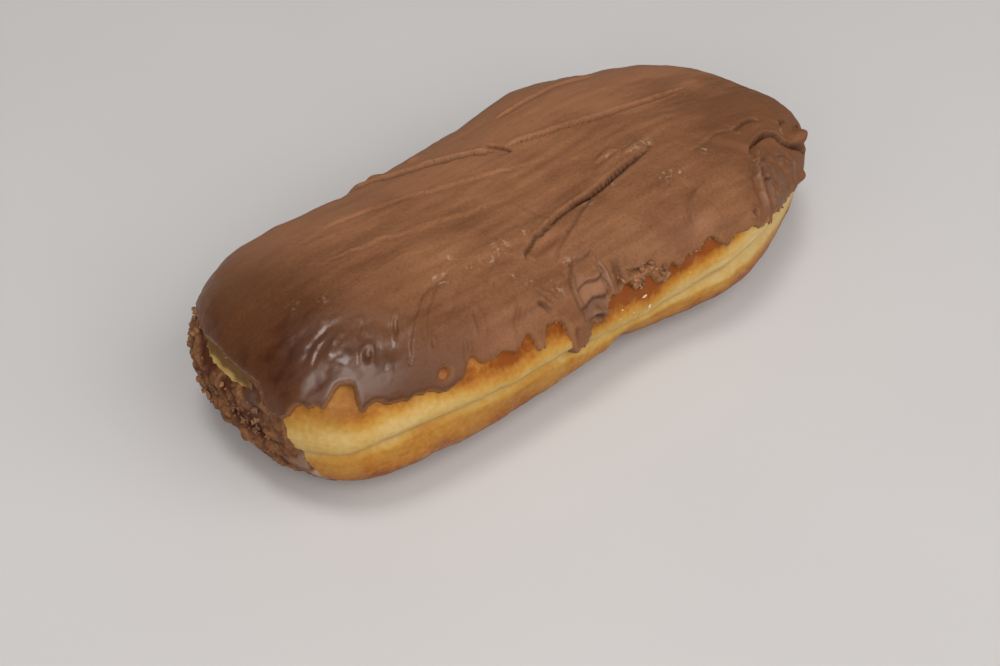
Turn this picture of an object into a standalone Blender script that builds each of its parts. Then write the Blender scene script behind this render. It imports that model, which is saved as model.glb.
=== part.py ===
"""A long john doughnut: an oblong of fried dough with a pale belt, iced over the top with chocolate.

Lengths are in millimetres, and mesh_object() turns them into metres. +X runs along the dough, +Z is
up, and the origin is at the middle of the base. A point of the form is found by two numbers: around,
the way along the plan outline from the +X tip, anticlockwise seen from above, and climb, the way up
the side from the belt, negative below it.
"""

import bpy
import bmesh
import numpy as np

MM = 0.001
TINY = 1e-12

# The plan: half the length, and half widths and heights at stations along it, as shares of half the length
HALF_LENGTH = 86.6
STATIONS = (-0.92, -0.65, -0.38, -0.12, 0.14, 0.4, 0.67, 0.92)
FRONT_HALF_WIDTHS = (40.0, 38.1, 37.7, 37.1, 38.1, 43.3, 40.6, 35.4)
BACK_HALF_WIDTHS = (49.7, 43.0, 37.0, 36.8, 38.2, 41.2, 38.6, 38.6)
TOP_HEIGHTS = (44.1, 42.8, 42.0, 40.5, 41.2, 41.2, 38.2, 36.8)
# Superellipse powers in the order front left, back left, front right, back right
CORNER_POWERS = (3.6, 2.7, 3.0, 3.6)
CORNER_BLEND = 0.5
SHOULDER_POWERS = (2.4, 2.3, 3.6, 2.9)
UNDERSIDE_POWER = 2.6
# The turn, just short of the +X tip, where around starts
START_TURN = -0.0122
# How far round from each tip the front's and the back's half widths blend, as a sine
TIP_BLEND = 0.3
END_SKEW = (-0.02, -0.17)
SPINE_SHARE = 0.6
BELT_HEIGHT = 18.4
BASE_SINK = 0.55
CENTRE = (-0.3, 1.15)
# The middling section that climb is measured on: half its width, and its height above and below the belt
MIDDLING = (40.0, 25.0, 19.0)

# The crease under the pale belt: its climb at places around, its depth and half width, and the lip over it
CREASE_AROUND = (0, 60, 150, 205, 250, 268, 300, 315, 345, 357, 372, 392, 420, 447)
CREASE_CLIMB = (2.5, 1.0, 2.0, 1.0, 0.7, 4.6, 2.6, 1.4, -1.9, 0.2, 2.6, 3.1, 2.8, 2.5)
CREASE = {"depth": 1.5, "half_width": 2.0}
LIP = {"height": 0.8, "above_crease": 2.8, "half_width": 4.0}
# A torn step in the lower crust and the fold at the front waist: place around, below the crease, and size
CRUST_STEP = {"around": 299.0, "reach": 14.0, "below": 9.0, "half_height": 7.0, "depth": 0.9}
STEP_SHARPNESS = 1.0
WAIST_FOLD = {"around": 338.0, "reach": 7.0, "below": 9.0, "half_height": 9.0, "depth": 1.5}
# Heights over the base between which the dough's relief sets in
RELIEF_STARTS = (1.0, 5.0)

# The icing: its gap to the dough, how the gap widens away from the rim, its thickness, and how far the dough
# is drawn in below it
ICING_GAP = 0.5
HIDDEN_GAP = {"more": 1.1, "above_rim": 8.0, "below_level": (2.0, 6.0), "share_below": 0.7}
ICING_INSET = 2.9
COVER_WAY = 14.0
LEAST_THICKNESS = 0.5
RIM_THICKNESS = 1.3
RIM_ROUNDING = 2.2
RIM_SETTLES = (3.0, 16.0)
PROUD_ON_TOP = 0.25
# The level of the icing's rim at places around, and on that each drip: place, drop and half width
RIM_AROUND = (0, 30, 70, 150, 200, 225, 246, 275, 300, 340, 375, 405, 447)
RIM_CLIMB = (2.0, 5.0, 9.0, 10.5, 11.0, 12.0, 12.4, 12.4, 12.2, 9.4, 8.6, 2.2, 2.0)
DRIPS = (
    (254.4, -5.6, 4.2), (262.0, -1.4, 3.0), (280.0, 1.4, 6.0), (287.3, -2.4, 3.6), (306.5, 3.8, 3.8),
    (318.5, 10.8, 5.4), (326.0, 4.8, 4.2), (335.5, -2.6, 3.0), (339.5, 2.2, 2.6), (346.5, 2.8, 4.2),
    (352.5, 1.2, 3.0), (361.0, -3.6, 3.4), (366.0, 0.9, 3.0), (378.0, 1.6, 4.2), (383.0, 2.4, 2.6),
)
# Drips round the back, each in its own stretch: their number, their draw's seed and their ranges
BACK_DRIPS = {"count": 15, "seed": 7, "first": 12.0, "span": 178.0}
BACK_DROPS = (-2.4, 3.4)
BACK_DRIP_HALF_WIDTHS = (3.6, 6.0)
# The smear of torn icing down the -X end, with the window of bare dough that it leaves
SMEAR = {"from": 201.0, "to": 248.0, "edge": 9.0, "foot": -12.0, "wave": 1.0, "wavelength": 13.0,
         "inset_share": 0.3}
SMEAR_LUMPS = {"height": 0.9, "scale": 7.5, "top": (10.0, 16.0)}
WINDOW = {"place": (219.0, 9.6), "size": (19.0, 5.6), "sides": 20}
PINHOLE = {"place": (279.5, 14.6), "size": (2.8, 2.4), "sides": 12}
CUTTER_REACH = 4.0

# Knife marks on the icing, in plan: their points, and the rise on their left and how far it takes to fade
KNIFE_MARKS = (
    (((-42, 30), (-25, 29), (-10, 22.5), (5, 13), (21, 8.5), (37, 5.5), (58, 7.7), (76, 9)), 0.8, 9),
    (((-22, -23), (-16, -19.8), (-6.8, -16.8), (3, -15.6), (14, -15.1), (31, -13.2)), 1.9, 11),
    (((38, -20.5), (46, -19), (53, -18), (65, -17), (72, -21)), 0.9, 9),
    (((52, -28), (57, -25), (64.5, -24), (70, -26.6), (75, -30)), 1.0, 8),
    (((18, 27), (30, 26.3), (40, 27), (56, 25)), 0.6, 9),
)
MARK_WIDTH = 4.6
MARK_ENDS = 0.18
# Soft ridges in plan: one end, the other end, the rise and the half width
RIDGES = (
    ((-60, -4), (-8, -10), 0.8, 6.0), ((-58, -20), (-38, -30), 0.7, 4.5), ((-44, -18), (-30, -31), 0.7, 4.5),
    ((-2, -22), (16, -30), 1.0, 7.0), ((-34, 31), (-18, 32), 0.4, 5.0), ((-10, 24), (3, 27), 0.5, 5.0),
    ((24, -4), (60, -6), 0.8, 8.0), ((30, -30), (48, -28), 0.8, 6.0),
)

# The meshes' rings, in climb: from the base to below the crease, at the crease, and shares of the rest
DOUGH_COLUMNS = 96
DOUGH_BELOW = (-45.5, -39.0, -32.5, -26.0, -20.0, -14.5, -9.5)
DOUGH_AT_CREASE = (-4.5, -1.0, 1.0, 3.6)
DOUGH_ABOVE = (0.0, 0.12, 0.26, 0.42, 0.6, 0.8, 1.0)
CREASE_CLEARANCE = 5.2
ICING_COLUMNS = 192
ICING_NEAR_RIM = (0.0, 0.5, 1.5, 3.2)
ICING_ROWS = 12
ICING_UNDER = (0.0, 0.06, 0.14, 0.24, 0.34, 0.44, 0.55, 0.68, 0.83, 1.0)
SPINE_RING = 1.6

DOUGH_COLOUR, DOUGH_ROUGHNESS = (0.52, 0.25, 0.07), 0.6
ICING_COLOUR, ICING_ROUGHNESS = (0.22, 0.11, 0.065), 0.5


def through(stations, values, t):
    """A smooth curve through the values at their stations, read at t: a cubic between each two."""
    stations, values = np.asarray(stations, float), np.asarray(values, float)
    slopes = np.gradient(values, stations)
    t = np.clip(t, stations[0], stations[-1])
    i = np.clip(np.searchsorted(stations, t) - 1, 0, len(stations) - 2)
    width = stations[i + 1] - stations[i]
    a = (t - stations[i]) / width
    return ((1 + 2 * a) * (1 - a) ** 2 * values[i] + a * (1 - a) ** 2 * width * slopes[i]
            + a * a * (3 - 2 * a) * values[i + 1] + a * a * (a - 1) * width * slopes[i + 1])


def ease(t, low, high):
    """0 below low, 1 above high, and a smooth S between."""
    k = np.clip((t - low) / (high - low), 0, 1)
    return k * k * (3 - 2 * k)


def hump(t, middle, half_width):
    """1 at the middle, falling smoothly to 0 at half_width from it."""
    return np.clip(1 - ((t - middle) / half_width) ** 2, 0, 1) ** 2


def by_corner(c, s, four):
    """The four corners' values, blended by the direction (c, s) in plan."""
    right, behind = ease(c, -CORNER_BLEND, CORNER_BLEND), ease(s, -CORNER_BLEND, CORNER_BLEND)
    front = (1 - right) * four[0] + right * four[2]
    back = (1 - right) * four[1] + right * four[3]
    return (1 - behind) * front + behind * back


def plan(turn):
    """The outline at the belt: a superellipse whose half width follows the stations."""
    c, s = np.cos(turn), np.sin(turn)
    power = 2 / by_corner(c, s, CORNER_POWERS)
    x = HALF_LENGTH * np.sign(c) * (np.abs(c) + TINY) ** power
    behind = 0.5 + 0.5 * np.clip(s / TIP_BLEND, -1, 1)
    half_width = ((1 - behind) * through(STATIONS, FRONT_HALF_WIDTHS, x / HALF_LENGTH)
                  + behind * through(STATIONS, BACK_HALF_WIDTHS, x / HALF_LENGTH))
    return x, half_width * np.sign(s) * (np.abs(s) + TINY) ** power


def outline_table():
    """The way along the outline at closely spaced turns."""
    turns = START_TURN + np.linspace(0, 2 * np.pi, 7201)
    x, y = plan(turns)
    return turns, np.concatenate([[0], np.cumsum(np.hypot(np.diff(x), np.diff(y)))])


def climb_table():
    """The way up the middling section at closely spaced lifts, from its belt."""
    half_width, above, below = MIDDLING
    lifts = np.linspace(-np.pi / 2, np.pi / 2, 2001)
    share = (np.cos(lifts).clip(0) + TINY) ** (2 / UNDERSIDE_POWER)
    rise = np.where(lifts > 0, above, below) * np.sign(lifts) * np.abs(np.sin(lifts)) ** (2 / UNDERSIDE_POWER)
    way = np.concatenate([[0], np.cumsum(np.hypot(np.diff(half_width * share), np.diff(rise)))])
    return lifts, way - np.interp(0, lifts, way)


TURNS, AROUND_WAY = outline_table()
GIRTH = AROUND_WAY[-1]
LIFTS, CLIMB_WAY = climb_table()
CLIMB_TOP = CLIMB_WAY[-1]


def form(around, climb):
    """The smooth form: the outline drawn in towards a spine as it rises, each section a superellipse."""
    turn = np.interp(np.mod(around, GIRTH), AROUND_WAY, TURNS)
    lift = np.interp(climb, CLIMB_WAY, LIFTS)
    turn, lift = np.broadcast_arrays(turn, lift)
    x, y = plan(turn)
    shoulder = by_corner(np.cos(turn), np.sin(turn), SHOULDER_POWERS)
    power = 2 / np.where(lift > 0, shoulder, UNDERSIDE_POWER)
    share = (np.cos(lift).clip(0) + TINY) ** power
    height = (np.abs(np.sin(lift)) + TINY) ** power
    px = x * (SPINE_SHARE + (1 - SPINE_SHARE) * share)
    py = y * share
    top = through(STATIONS, TOP_HEIGHTS, px / HALF_LENGTH)
    pz = BELT_HEIGHT + np.where(lift > 0, top - BELT_HEIGHT, -BELT_HEIGHT - BASE_SINK) * height
    px = px + np.where(x > 0, END_SKEW[1], END_SKEW[0]) * py * (px / HALF_LENGTH) ** 2
    return np.stack([px + CENTRE[0], py + CENTRE[1], pz.clip(0)], -1)


def outward(around, climb, reach=0.3):
    """The unit normal of the form, from the slopes along its two ways."""
    along = form(around + reach, climb) - form(around - reach, climb)
    up = form(around, np.minimum(climb + reach, CLIMB_TOP)) - form(around, climb - reach)
    normal = np.cross(along, up)
    return normal / np.linalg.norm(normal, axis=-1, keepdims=True)


def ripple(around, climb, scale):
    """An uneven wave of height 1 and about this scale across: three sines that don't line up."""
    a, b = around * 2 * np.pi / scale, climb * 2 * np.pi / scale
    waves = np.sin(a + 1.7 * np.sin(0.61 * b)) + np.sin(0.73 * b + 1.3 * a + 2) + np.sin(1.37 * b - 0.5 * a)
    return waves / 3


def back_drips():
    """Drips on the side away from the front, spread evenly and then moved by a seeded draw."""
    count = BACK_DRIPS["count"]
    draw = np.random.default_rng(BACK_DRIPS["seed"])
    stretch = np.arange(count) + draw.uniform(0.2, 0.8, count)
    places = BACK_DRIPS["first"] + stretch * BACK_DRIPS["span"] / count
    return zip(places, draw.uniform(*BACK_DROPS, count), draw.uniform(*BACK_DRIP_HALF_WIDTHS, count))


def in_smear(around):
    """1 in the smear on the -X end, 0 away from it."""
    return (ease(around, SMEAR["from"] - SMEAR["edge"], SMEAR["from"])
            * (1 - ease(around, SMEAR["to"] - SMEAR["edge"], SMEAR["to"])))


def rim_level(around):
    """The icing's level line without its drips and smear."""
    return through(RIM_AROUND, RIM_CLIMB, np.mod(around, GIRTH))


def rim(around):
    """The icing's rim: its level line, less every drip's hump, let down at the smear."""
    drop = sum(fall * hump(around, place, half) for place, fall, half in (*DRIPS, *back_drips()))
    smear = in_smear(around)
    foot = SMEAR["foot"] + SMEAR["wave"] * np.sin(around * 2 * np.pi / SMEAR["wavelength"])
    return (rim_level(around) - drop) * (1 - smear) + smear * foot


def covered(around, climb):
    """How much icing draws the dough in: 0 on bare dough and 1 well under the icing."""
    level = rim_level(around)
    under_smear = in_smear(around) * ease(climb, SMEAR["foot"], SMEAR["foot"] + COVER_WAY / 2)
    return np.maximum(ease(climb, level, level + COVER_WAY), SMEAR["inset_share"] * under_smear)


def dent(around, off, size):
    """A hollow in the lower crust: a hump around its place and below the crease."""
    beside_place = hump(around, size["around"], size["reach"])
    return size["depth"] * beside_place * hump(off, -size["below"], size["half_height"])


def swell(around, climb):
    """How far the dough stands out from the form: a groove and lip at the crease, drawn in under icing."""
    off = climb - through(CREASE_AROUND, CREASE_CLIMB, np.mod(around, GIRTH))
    edge = rim(around)
    bare = 1 - ease(climb, edge - RIM_ROUNDING, edge)
    crease = (LIP["height"] * hump(off, LIP["above_crease"], LIP["half_width"])
              - CREASE["depth"] * hump(off, -CREASE["half_width"] / 2, CREASE["half_width"]))
    past_step = ease(around - CRUST_STEP["around"], -STEP_SHARPNESS, STEP_SHARPNESS)
    dents = past_step * dent(around, off, CRUST_STEP) + dent(around, off, WAIST_FOLD)
    above_base = ease(form(around, climb)[..., 2], *RELIEF_STARTS)
    return (crease * bare - dents) * above_base - ICING_INSET * covered(around, climb)


def stood_off(around, climb, distance):
    """The form moved out along its normal by this distance."""
    return form(around, climb) + outward(around, climb) * distance[..., None]


def beside(points, line):
    """For each plan point: its signed distance to the line, left of it positive, and its share of the way."""
    line = np.asarray(line, float)
    start, run = line[:-1], np.diff(line, axis=0)
    length = np.hypot(*run.T)
    from_start = points[..., None, :] - start
    share = np.clip((from_start * run).sum(-1) / length**2, 0, 1)
    gap = from_start - share[..., None] * run
    nearest = np.argmin((gap**2).sum(-1), axis=-1)[..., None]
    cross = np.sign(run[:, 0] * from_start[..., 1] - run[:, 1] * from_start[..., 0])
    distance = np.take_along_axis(np.sqrt((gap**2).sum(-1)) * cross, nearest, -1)[..., 0]
    way = np.take_along_axis(np.cumsum(length) - length + share * length, nearest, -1)[..., 0]
    return distance, way / length.sum()


def knife_relief(points):
    """Each mark is a step up on its left that fades away from its edge, and each ridge a long hump."""
    relief = np.zeros(points.shape[:-1])
    for line, rise, fade in KNIFE_MARKS:
        off, way = beside(points, line)
        ends = ease(way, 0, MARK_ENDS) * (1 - ease(way, 1 - MARK_ENDS, 1))
        step = ease(off, -MARK_WIDTH / 2, MARK_WIDTH / 2) * np.exp(-off.clip(0) / fade)
        relief += rise * ends * step
    for start, end, rise, half_width in RIDGES:
        off, way = beside(points, (start, end))
        relief += rise * hump(off, 0, half_width) * np.sin(np.pi * way.clip(0, 1)) ** 0.5
    return relief


def underside(around, climb):
    """Where the icing's underside stands: clear of the dough by the gap, wider where it doesn't show."""
    above = ease(climb - rim(around), 0, HIDDEN_GAP["above_rim"])
    below = HIDDEN_GAP["share_below"] * ease(rim_level(around) - climb, *HIDDEN_GAP["below_level"])
    return swell(around, climb) + ICING_GAP + HIDDEN_GAP["more"] * np.maximum(above, below)


def outside(around, climb):
    """Where the icing's outside stands: a rounded, proud rim, knife marks on top, lumps on the smear."""
    inside = climb - rim(around)
    corner = np.sqrt(np.clip(1 - (1 - inside / RIM_ROUNDING).clip(0) ** 2, 0, 1))
    smear = in_smear(around) * (1 - ease(climb, *SMEAR_LUMPS["top"]))
    settled = ease(inside, *RIM_SETTLES) * (1 - smear)
    proud = RIM_THICKNESS * (1 - (1 - PROUD_ON_TOP) * settled)
    marks = knife_relief(form(around, climb)[..., :2]) * ease(inside, RIM_ROUNDING, 4 * RIM_ROUNDING)
    lumps = smear * ease(inside, 0, 2 * RIM_ROUNDING) * ripple(around, climb, SMEAR_LUMPS["scale"])
    outer = proud * corner + marks + SMEAR_LUMPS["height"] * lumps
    return np.maximum(outer, underside(around, climb) + LEAST_THICKNESS)


def bands(first, count, rings, flip):
    """Quads between each two rings of this many points, the first ring starting at the index first."""
    i = np.arange(count)
    j = (i + 1) % count
    quads = []
    for ring in range(rings - 1):
        low, high = first + ring * count, first + (ring + 1) * count
        quad = np.stack([low + i, low + j, high + j, high + i], 1)
        quads += (quad[:, ::-1] if flip else quad).tolist()
    return quads


def zipped(first, count):
    """Faces across a ring, from each point to the one opposite, which close it along its middle."""
    half = count // 2
    k = np.arange(1, half - 1)
    ends = [[0, 1, count - 1], [half - 1, half, half + 1]]
    between = np.stack([k, k + 1, count - k - 1, count - k], 1).tolist()
    return [[first + corner for corner in face] for face in ends + between]


def mesh_object(name, points, faces, colour, roughness):
    """A named object from points in millimetres, its faces turned outwards and shaded smooth."""
    mesh = bpy.data.meshes.new(name)
    mesh.from_pydata((np.asarray(points) * MM).tolist(), [], faces)
    shape = bmesh.new()
    shape.from_mesh(mesh)
    bmesh.ops.recalc_face_normals(shape, faces=shape.faces)
    bmesh.ops.triangulate(shape, faces=[face for face in shape.faces if len(face.verts) > 4])
    shape.to_mesh(mesh)
    shape.free()
    mesh.shade_smooth()
    material = bpy.data.materials.new(name)
    material.use_nodes = True
    shader = material.node_tree.nodes["Principled BSDF"]
    shader.inputs["Base Color"].default_value = (*colour, 1)
    shader.inputs["Roughness"].default_value = roughness
    shader.inputs["Metallic"].default_value = 0
    mesh.materials.append(material)
    made = bpy.data.objects.new(name, mesh)
    bpy.context.scene.collection.objects.link(made)
    return made


def even_places(count):
    return np.arange(count) * GIRTH / count


def make_dough():
    """Rings from the flat base up past the crease, then on under the icing to the spine."""
    around = even_places(DOUGH_COLUMNS)[None]
    crease = through(CREASE_AROUND, CREASE_CLIMB, around)
    start = np.maximum(rim_level(around), crease + CREASE_CLEARANCE)
    below = np.array(DOUGH_BELOW)[:, None] + np.zeros_like(around)
    at_crease = crease + np.array(DOUGH_AT_CREASE)[:, None]
    above = start + (CLIMB_TOP - SPINE_RING - start) * np.array(DOUGH_ABOVE)[:, None]
    climb = np.concatenate([below, at_crease, above])
    around = np.broadcast_to(around, climb.shape)
    points = stood_off(around, climb, swell(around, climb)).reshape(-1, 3)
    faces = (bands(0, DOUGH_COLUMNS, len(climb), False) + zipped(0, DOUGH_COLUMNS)
             + zipped(len(points) - DOUGH_COLUMNS, DOUGH_COLUMNS))
    return mesh_object("dough", points, faces, DOUGH_COLOUR, DOUGH_ROUGHNESS)


def make_icing():
    """An outer and an inner skin over the dough, joined round the rim."""
    around = even_places(ICING_COLUMNS)[None]
    level = rim(around)
    near_rim = level + np.array(ICING_NEAR_RIM)[:, None]
    start = near_rim[-1]
    shares = np.arange(1, ICING_ROWS + 1)[:, None] / ICING_ROWS
    outer = np.concatenate([near_rim, start + (CLIMB_TOP - SPINE_RING - start) * shares])
    inner = level + (CLIMB_TOP - SPINE_RING - level) * np.array(ICING_UNDER)[:, None]
    outer_points = stood_off(around, outer, outside(around, outer)).reshape(-1, 3)
    inner_points = stood_off(around, inner, underside(around, inner)).reshape(-1, 3)
    second = len(outer_points)
    i = np.arange(ICING_COLUMNS)
    j = (i + 1) % ICING_COLUMNS
    wall = np.stack([i, second + i, second + j, j], 1).tolist()
    faces = (bands(0, ICING_COLUMNS, len(outer), False) + zipped(second - ICING_COLUMNS, ICING_COLUMNS) + wall
             + bands(second, ICING_COLUMNS, len(inner), True)
             + zipped(second + len(inner_points) - ICING_COLUMNS, ICING_COLUMNS))
    points = np.concatenate([outer_points, inner_points])
    return mesh_object("icing", points, faces, ICING_COLOUR, ICING_ROUGHNESS)


def cut_hole(icing, name, hole):
    """An oval hole through the icing at a place of the form, its long way along the rim."""
    around, climb = np.array(hole["place"])
    middle, normal = form(around, climb), outward(around, climb)
    along = np.cross([0.0, 0.0, 1.0], normal)
    along /= np.linalg.norm(along)
    up = np.cross(normal, along)
    sides = hole["sides"]
    turn = np.arange(sides)[:, None] * 2 * np.pi / sides
    oval = hole["size"][0] / 2 * np.cos(turn) * along + hole["size"][1] / 2 * np.sin(turn) * up
    points = np.concatenate([middle - CUTTER_REACH * normal + oval, middle + CUTTER_REACH * normal + oval])
    i = np.arange(sides)
    j = (i + 1) % sides
    faces = [i[::-1].tolist(), (sides + i).tolist()] + np.stack([i, j, sides + j, sides + i], 1).tolist()
    cutter = mesh_object(name, points, faces, ICING_COLOUR, ICING_ROUGHNESS)
    cutter.hide_render = True
    cutter.display_type = "WIRE"
    cut = icing.modifiers.new(name, "BOOLEAN")
    cut.operation = "DIFFERENCE"
    cut.object = cutter


def main():
    for old in list(bpy.data.objects):
        bpy.data.objects.remove(old)
    make_dough()
    icing = make_icing()
    cut_hole(icing, "window_cutter", WINDOW)
    cut_hole(icing, "pinhole_cutter", PINHOLE)


main()
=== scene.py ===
"""The looks of a long john doughnut: fried dough with a pale belt, under torn icing spread by knife.

The file is laid out as a Blender add-on and run as a script. Lengths are in millimetres, as in the
part's own source, and put_in_scene() turns them into metres. A point of the form is found by two
numbers: around, the way along the plan outline from just short of the +X tip, anticlockwise seen from
above, and climb, the way up the side from the belt, negative below it. Each use of unevenness() has a
seed of its own, except where two edges should waver together.
"""

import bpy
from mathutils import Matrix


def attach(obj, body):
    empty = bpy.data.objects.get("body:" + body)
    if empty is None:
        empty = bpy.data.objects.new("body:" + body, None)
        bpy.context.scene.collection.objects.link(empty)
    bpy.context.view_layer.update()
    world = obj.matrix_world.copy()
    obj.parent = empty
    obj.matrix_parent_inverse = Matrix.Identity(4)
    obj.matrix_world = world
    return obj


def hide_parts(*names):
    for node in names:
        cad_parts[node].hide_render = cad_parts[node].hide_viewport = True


bl_info = {
    "name": "Long John Doughnut",
    "version": (1, 0, 0),
    "blender": (4, 5, 0),
    "location": "View3D > Sidebar > Doughnut",
    "description": "Models the dough, icing, crumbs and glaze of a long john doughnut, and its stage",
    "category": "Mesh",
}

import bpy
import numpy as np
from mathutils import Matrix, Vector

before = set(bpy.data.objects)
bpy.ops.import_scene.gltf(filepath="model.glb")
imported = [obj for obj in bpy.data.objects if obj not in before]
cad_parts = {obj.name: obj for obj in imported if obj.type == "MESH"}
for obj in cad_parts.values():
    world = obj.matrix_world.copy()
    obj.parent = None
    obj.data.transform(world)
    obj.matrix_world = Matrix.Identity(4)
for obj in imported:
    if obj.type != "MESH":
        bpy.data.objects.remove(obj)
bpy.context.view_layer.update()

MM = 0.001
TINY = 1e-12

# The plan: half the length, and half widths and heights at stations along it, as shares of half the length
HALF_LENGTH = 86.6
STATIONS = (-0.92, -0.65, -0.38, -0.12, 0.14, 0.4, 0.67, 0.92)
FRONT_HALF_WIDTHS = (40.0, 38.1, 37.7, 37.1, 38.1, 43.3, 40.6, 35.4)
BACK_HALF_WIDTHS = (49.7, 43.0, 37.0, 36.8, 38.2, 41.2, 38.6, 38.6)
TOP_HEIGHTS = (44.1, 42.8, 42.0, 40.5, 41.2, 41.2, 38.2, 36.8)
# Superellipse powers in the order front left, back left, front right, back right
CORNER_POWERS = (3.6, 2.7, 3.0, 3.6)
SHOULDER_POWERS = (2.4, 2.3, 3.6, 2.9)
UNDERSIDE_POWER = 2.6
# The sine of the turn at which the front's half widths have given way to the back's, and the reverse
SIDE_BLEND = 0.3
# The turn, just short of the +X tip, where around starts, and where the front's looks fade out before it
START_TURN = -0.0122
TIP_FADE = (414.0, 440.0)
# How far each end leans along x as it goes back, and the share of the length that the spine keeps on top
END_SKEW = (-0.02, -0.17)
SPINE_SHARE = 0.6
BELT_HEIGHT = 18.4
# The form goes this far under the floor, where it is cut flat
BASE_SINK = 0.55
# The plan's middle in the part's frame
CENTRE = (-0.3, 1.15)
# Half the width and the heights above and below the belt of a middling section, which climb is measured on
MIDDLING = (40.0, 25.0, 19.0)
# How many turns and lifts the two ways are measured at
TURN_COUNT, LIFT_COUNT = 7201, 2001
# The dough ends this far up the side from the foot, and every sheet this far short of the spine
BASE_INSET = 4.2
SPINE_GAP = 0.4

# The crease under the pale belt, as its climb at places around, and the lip that stands over it
CREASE_AROUND = (0, 60, 150, 205, 250, 268, 300, 315, 345, 357, 372, 392, 420, 447)
CREASE_CLIMB = (2.5, 1.0, 2.0, 1.0, 0.7, 4.6, 2.6, 1.4, -1.9, 0.2, 2.6, 3.1, 2.8, 2.5)
CREASE = {"depth": 1.5, "half_width": 1.7}
LIP = {"height": 0.9, "above_crease": 2.6, "half_width": 3.6}
CRUST_STEP = {"around": 299.0, "reach": 14.0, "below": 9.0, "half_height": 7.0, "depth": 0.9}
WAIST_FOLD = {"around": 338.0, "reach": 7.0, "below": 9.0, "half_height": 9.0, "depth": 1.5}
# The pale belt at places around: how far it reaches above and below the crease, and how baked the crust is
# next to the icing
BELT_AROUND = (0, 205, 250, 285, 300, 345, 365, 400, 447)
BELT_ABOVE = (4.5, 5.0, 6.5, 4.0, 3.2, 2.8, 4.2, 6.6, 4.5)
BELT_BELOW = (2.0, 0.5, 0.4, 0.4, 0.4, 0.8, 1.2, 2.4, 2.0)
BAKED_ABOVE = (0.9, 0.8, 0.68, 0.85, 0.95, 1.12, 1.02, 0.85, 0.9)
# Where the crust next to the icing is darkened to tan and not golden, as painted shade under the icing's edge
RIM_SHADE = {"around": 254.0, "reach": 14.0, "depth": 0.35}
# How far the dough is drawn in under the icing, and how far above the rim it takes to get there
ICING_INSET = 2.9
COVER_WAY = 14.0

# The level of the icing's rim at places around, and on that each drip: place, drop and half width
RIM_AROUND = (0, 30, 70, 150, 200, 225, 246, 275, 300, 340, 375, 405, 447)
RIM_CLIMB = (2.0, 5.0, 9.0, 10.5, 11.0, 12.0, 12.4, 12.4, 12.2, 9.4, 8.6, 2.2, 2.0)
DRIPS = (
    (237.5, 4.8, 6.5), (248.0, -0.6, 3.2), (254.3, -5.8, 4.6), (262.0, -1.5, 2.8), (280.0, 1.4, 5.5),
    (287.3, -2.6, 3.6), (299.3, 1.0, 2.6), (302.9, -0.9, 1.5), (307.0, 4.0, 2.9), (319.4, 10.6, 5.3),
    (325.8, 6.0, 4.6), (332.4, 1.2, 1.8), (335.6, -1.6, 2.2), (339.4, 2.4, 2.3), (346.6, 3.2, 3.4),
    (352.2, 1.6, 2.6), (361.2, -3.2, 2.8), (365.3, 0.9, 2.2), (378.4, 1.4, 3.2), (382.6, 2.4, 1.8),
)
BACK_DRIPS = {"count": 15, "seed": 7, "first": 12.0, "span": 178.0}
BACK_DROPS = (-2.4, 3.4)
BACK_DRIP_HALF_WIDTHS = (3.6, 6.0)
RIM_RAGGED = {"height": 0.6, "scale": 2.0, "fine": 0.6, "wander": 0.8}
# The flat share of a drip's end, and of a notch's, which is narrower
DRIP_FLAT, NOTCH_FLAT = 0.3, 0.1

# The smear of torn icing down the -X end, and the window and the pinhole through to the dough
SMEAR = {"from": 199.0, "to": 239.0, "slant": 0.62, "top": 7.5, "foot": -13.5, "hem": -17.5}
WINDOW = {"place": (217.0, 9.8), "half": (9.8, 2.7), "slant": -0.03}
PINHOLE = {"place": (279.5, 14.6), "half": (1.4, 1.1), "slant": 0.0}
# How far in from its edge the icing has its full thickness
EDGE_RADIUS = 1.3
# The smooth greyish band across the smear
BAND = {"place": (229.5, 7.0), "half": (5.0, 6.5), "slant": 0.6}
# The grid of points that the smear is made of, and how thin its film gets
SMEAR_GRID = {"step": 0.3, "before": 3.0, "after": 18.0, "top": 14.0}
THINNEST = 0.12
# How far under the icing the dough's close rows reach, and how many rows go on from there to the spine
TUCKED = 8.0
HIDDEN_ROWS = 15
# The hem that the icing starts from: below the lowest rim within reach
HEM = {"reach": 6.0, "step": 0.5, "below": 2.2}
# The icing's inner sheet: its rows, how far under the dough it is, and where it comes up to the top
INNER = {"rows": 10, "under": 2.3, "rise": 2.5, "from": 24.0, "to": 32.0}
# Where the icing ran smooth and glossy
GLOSSY = {"place": (252.0, 25.0), "half": (23.0, 13.0)}
# Where the knife tore the icing rough, on the front of the +X end
ROUGH = {"place": (394.0, 14.0), "half": (13.0, 11.0)}
# Where the icing darkens towards the -X end, partly as painted shade, and where the knife's waves die out, as
# x in plan
DARK_FROM, DARK_TO = 40, 84
WAVES_FROM, WAVES_TO = 55, 72
# Where the rim is torn and not run smooth, and where its edge has the most painted highlight, as places
# around
TORN_FROM, TORN_TO = 292, 312
EDGE_HIGHLIGHT = (185, 200, 234, 242)
# Where the front's crust turns darker below the belt, and where it turns paler on it, as places around
DARKER_BELOW, PALER_BELT = (340, 365), (350, 385)

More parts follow.
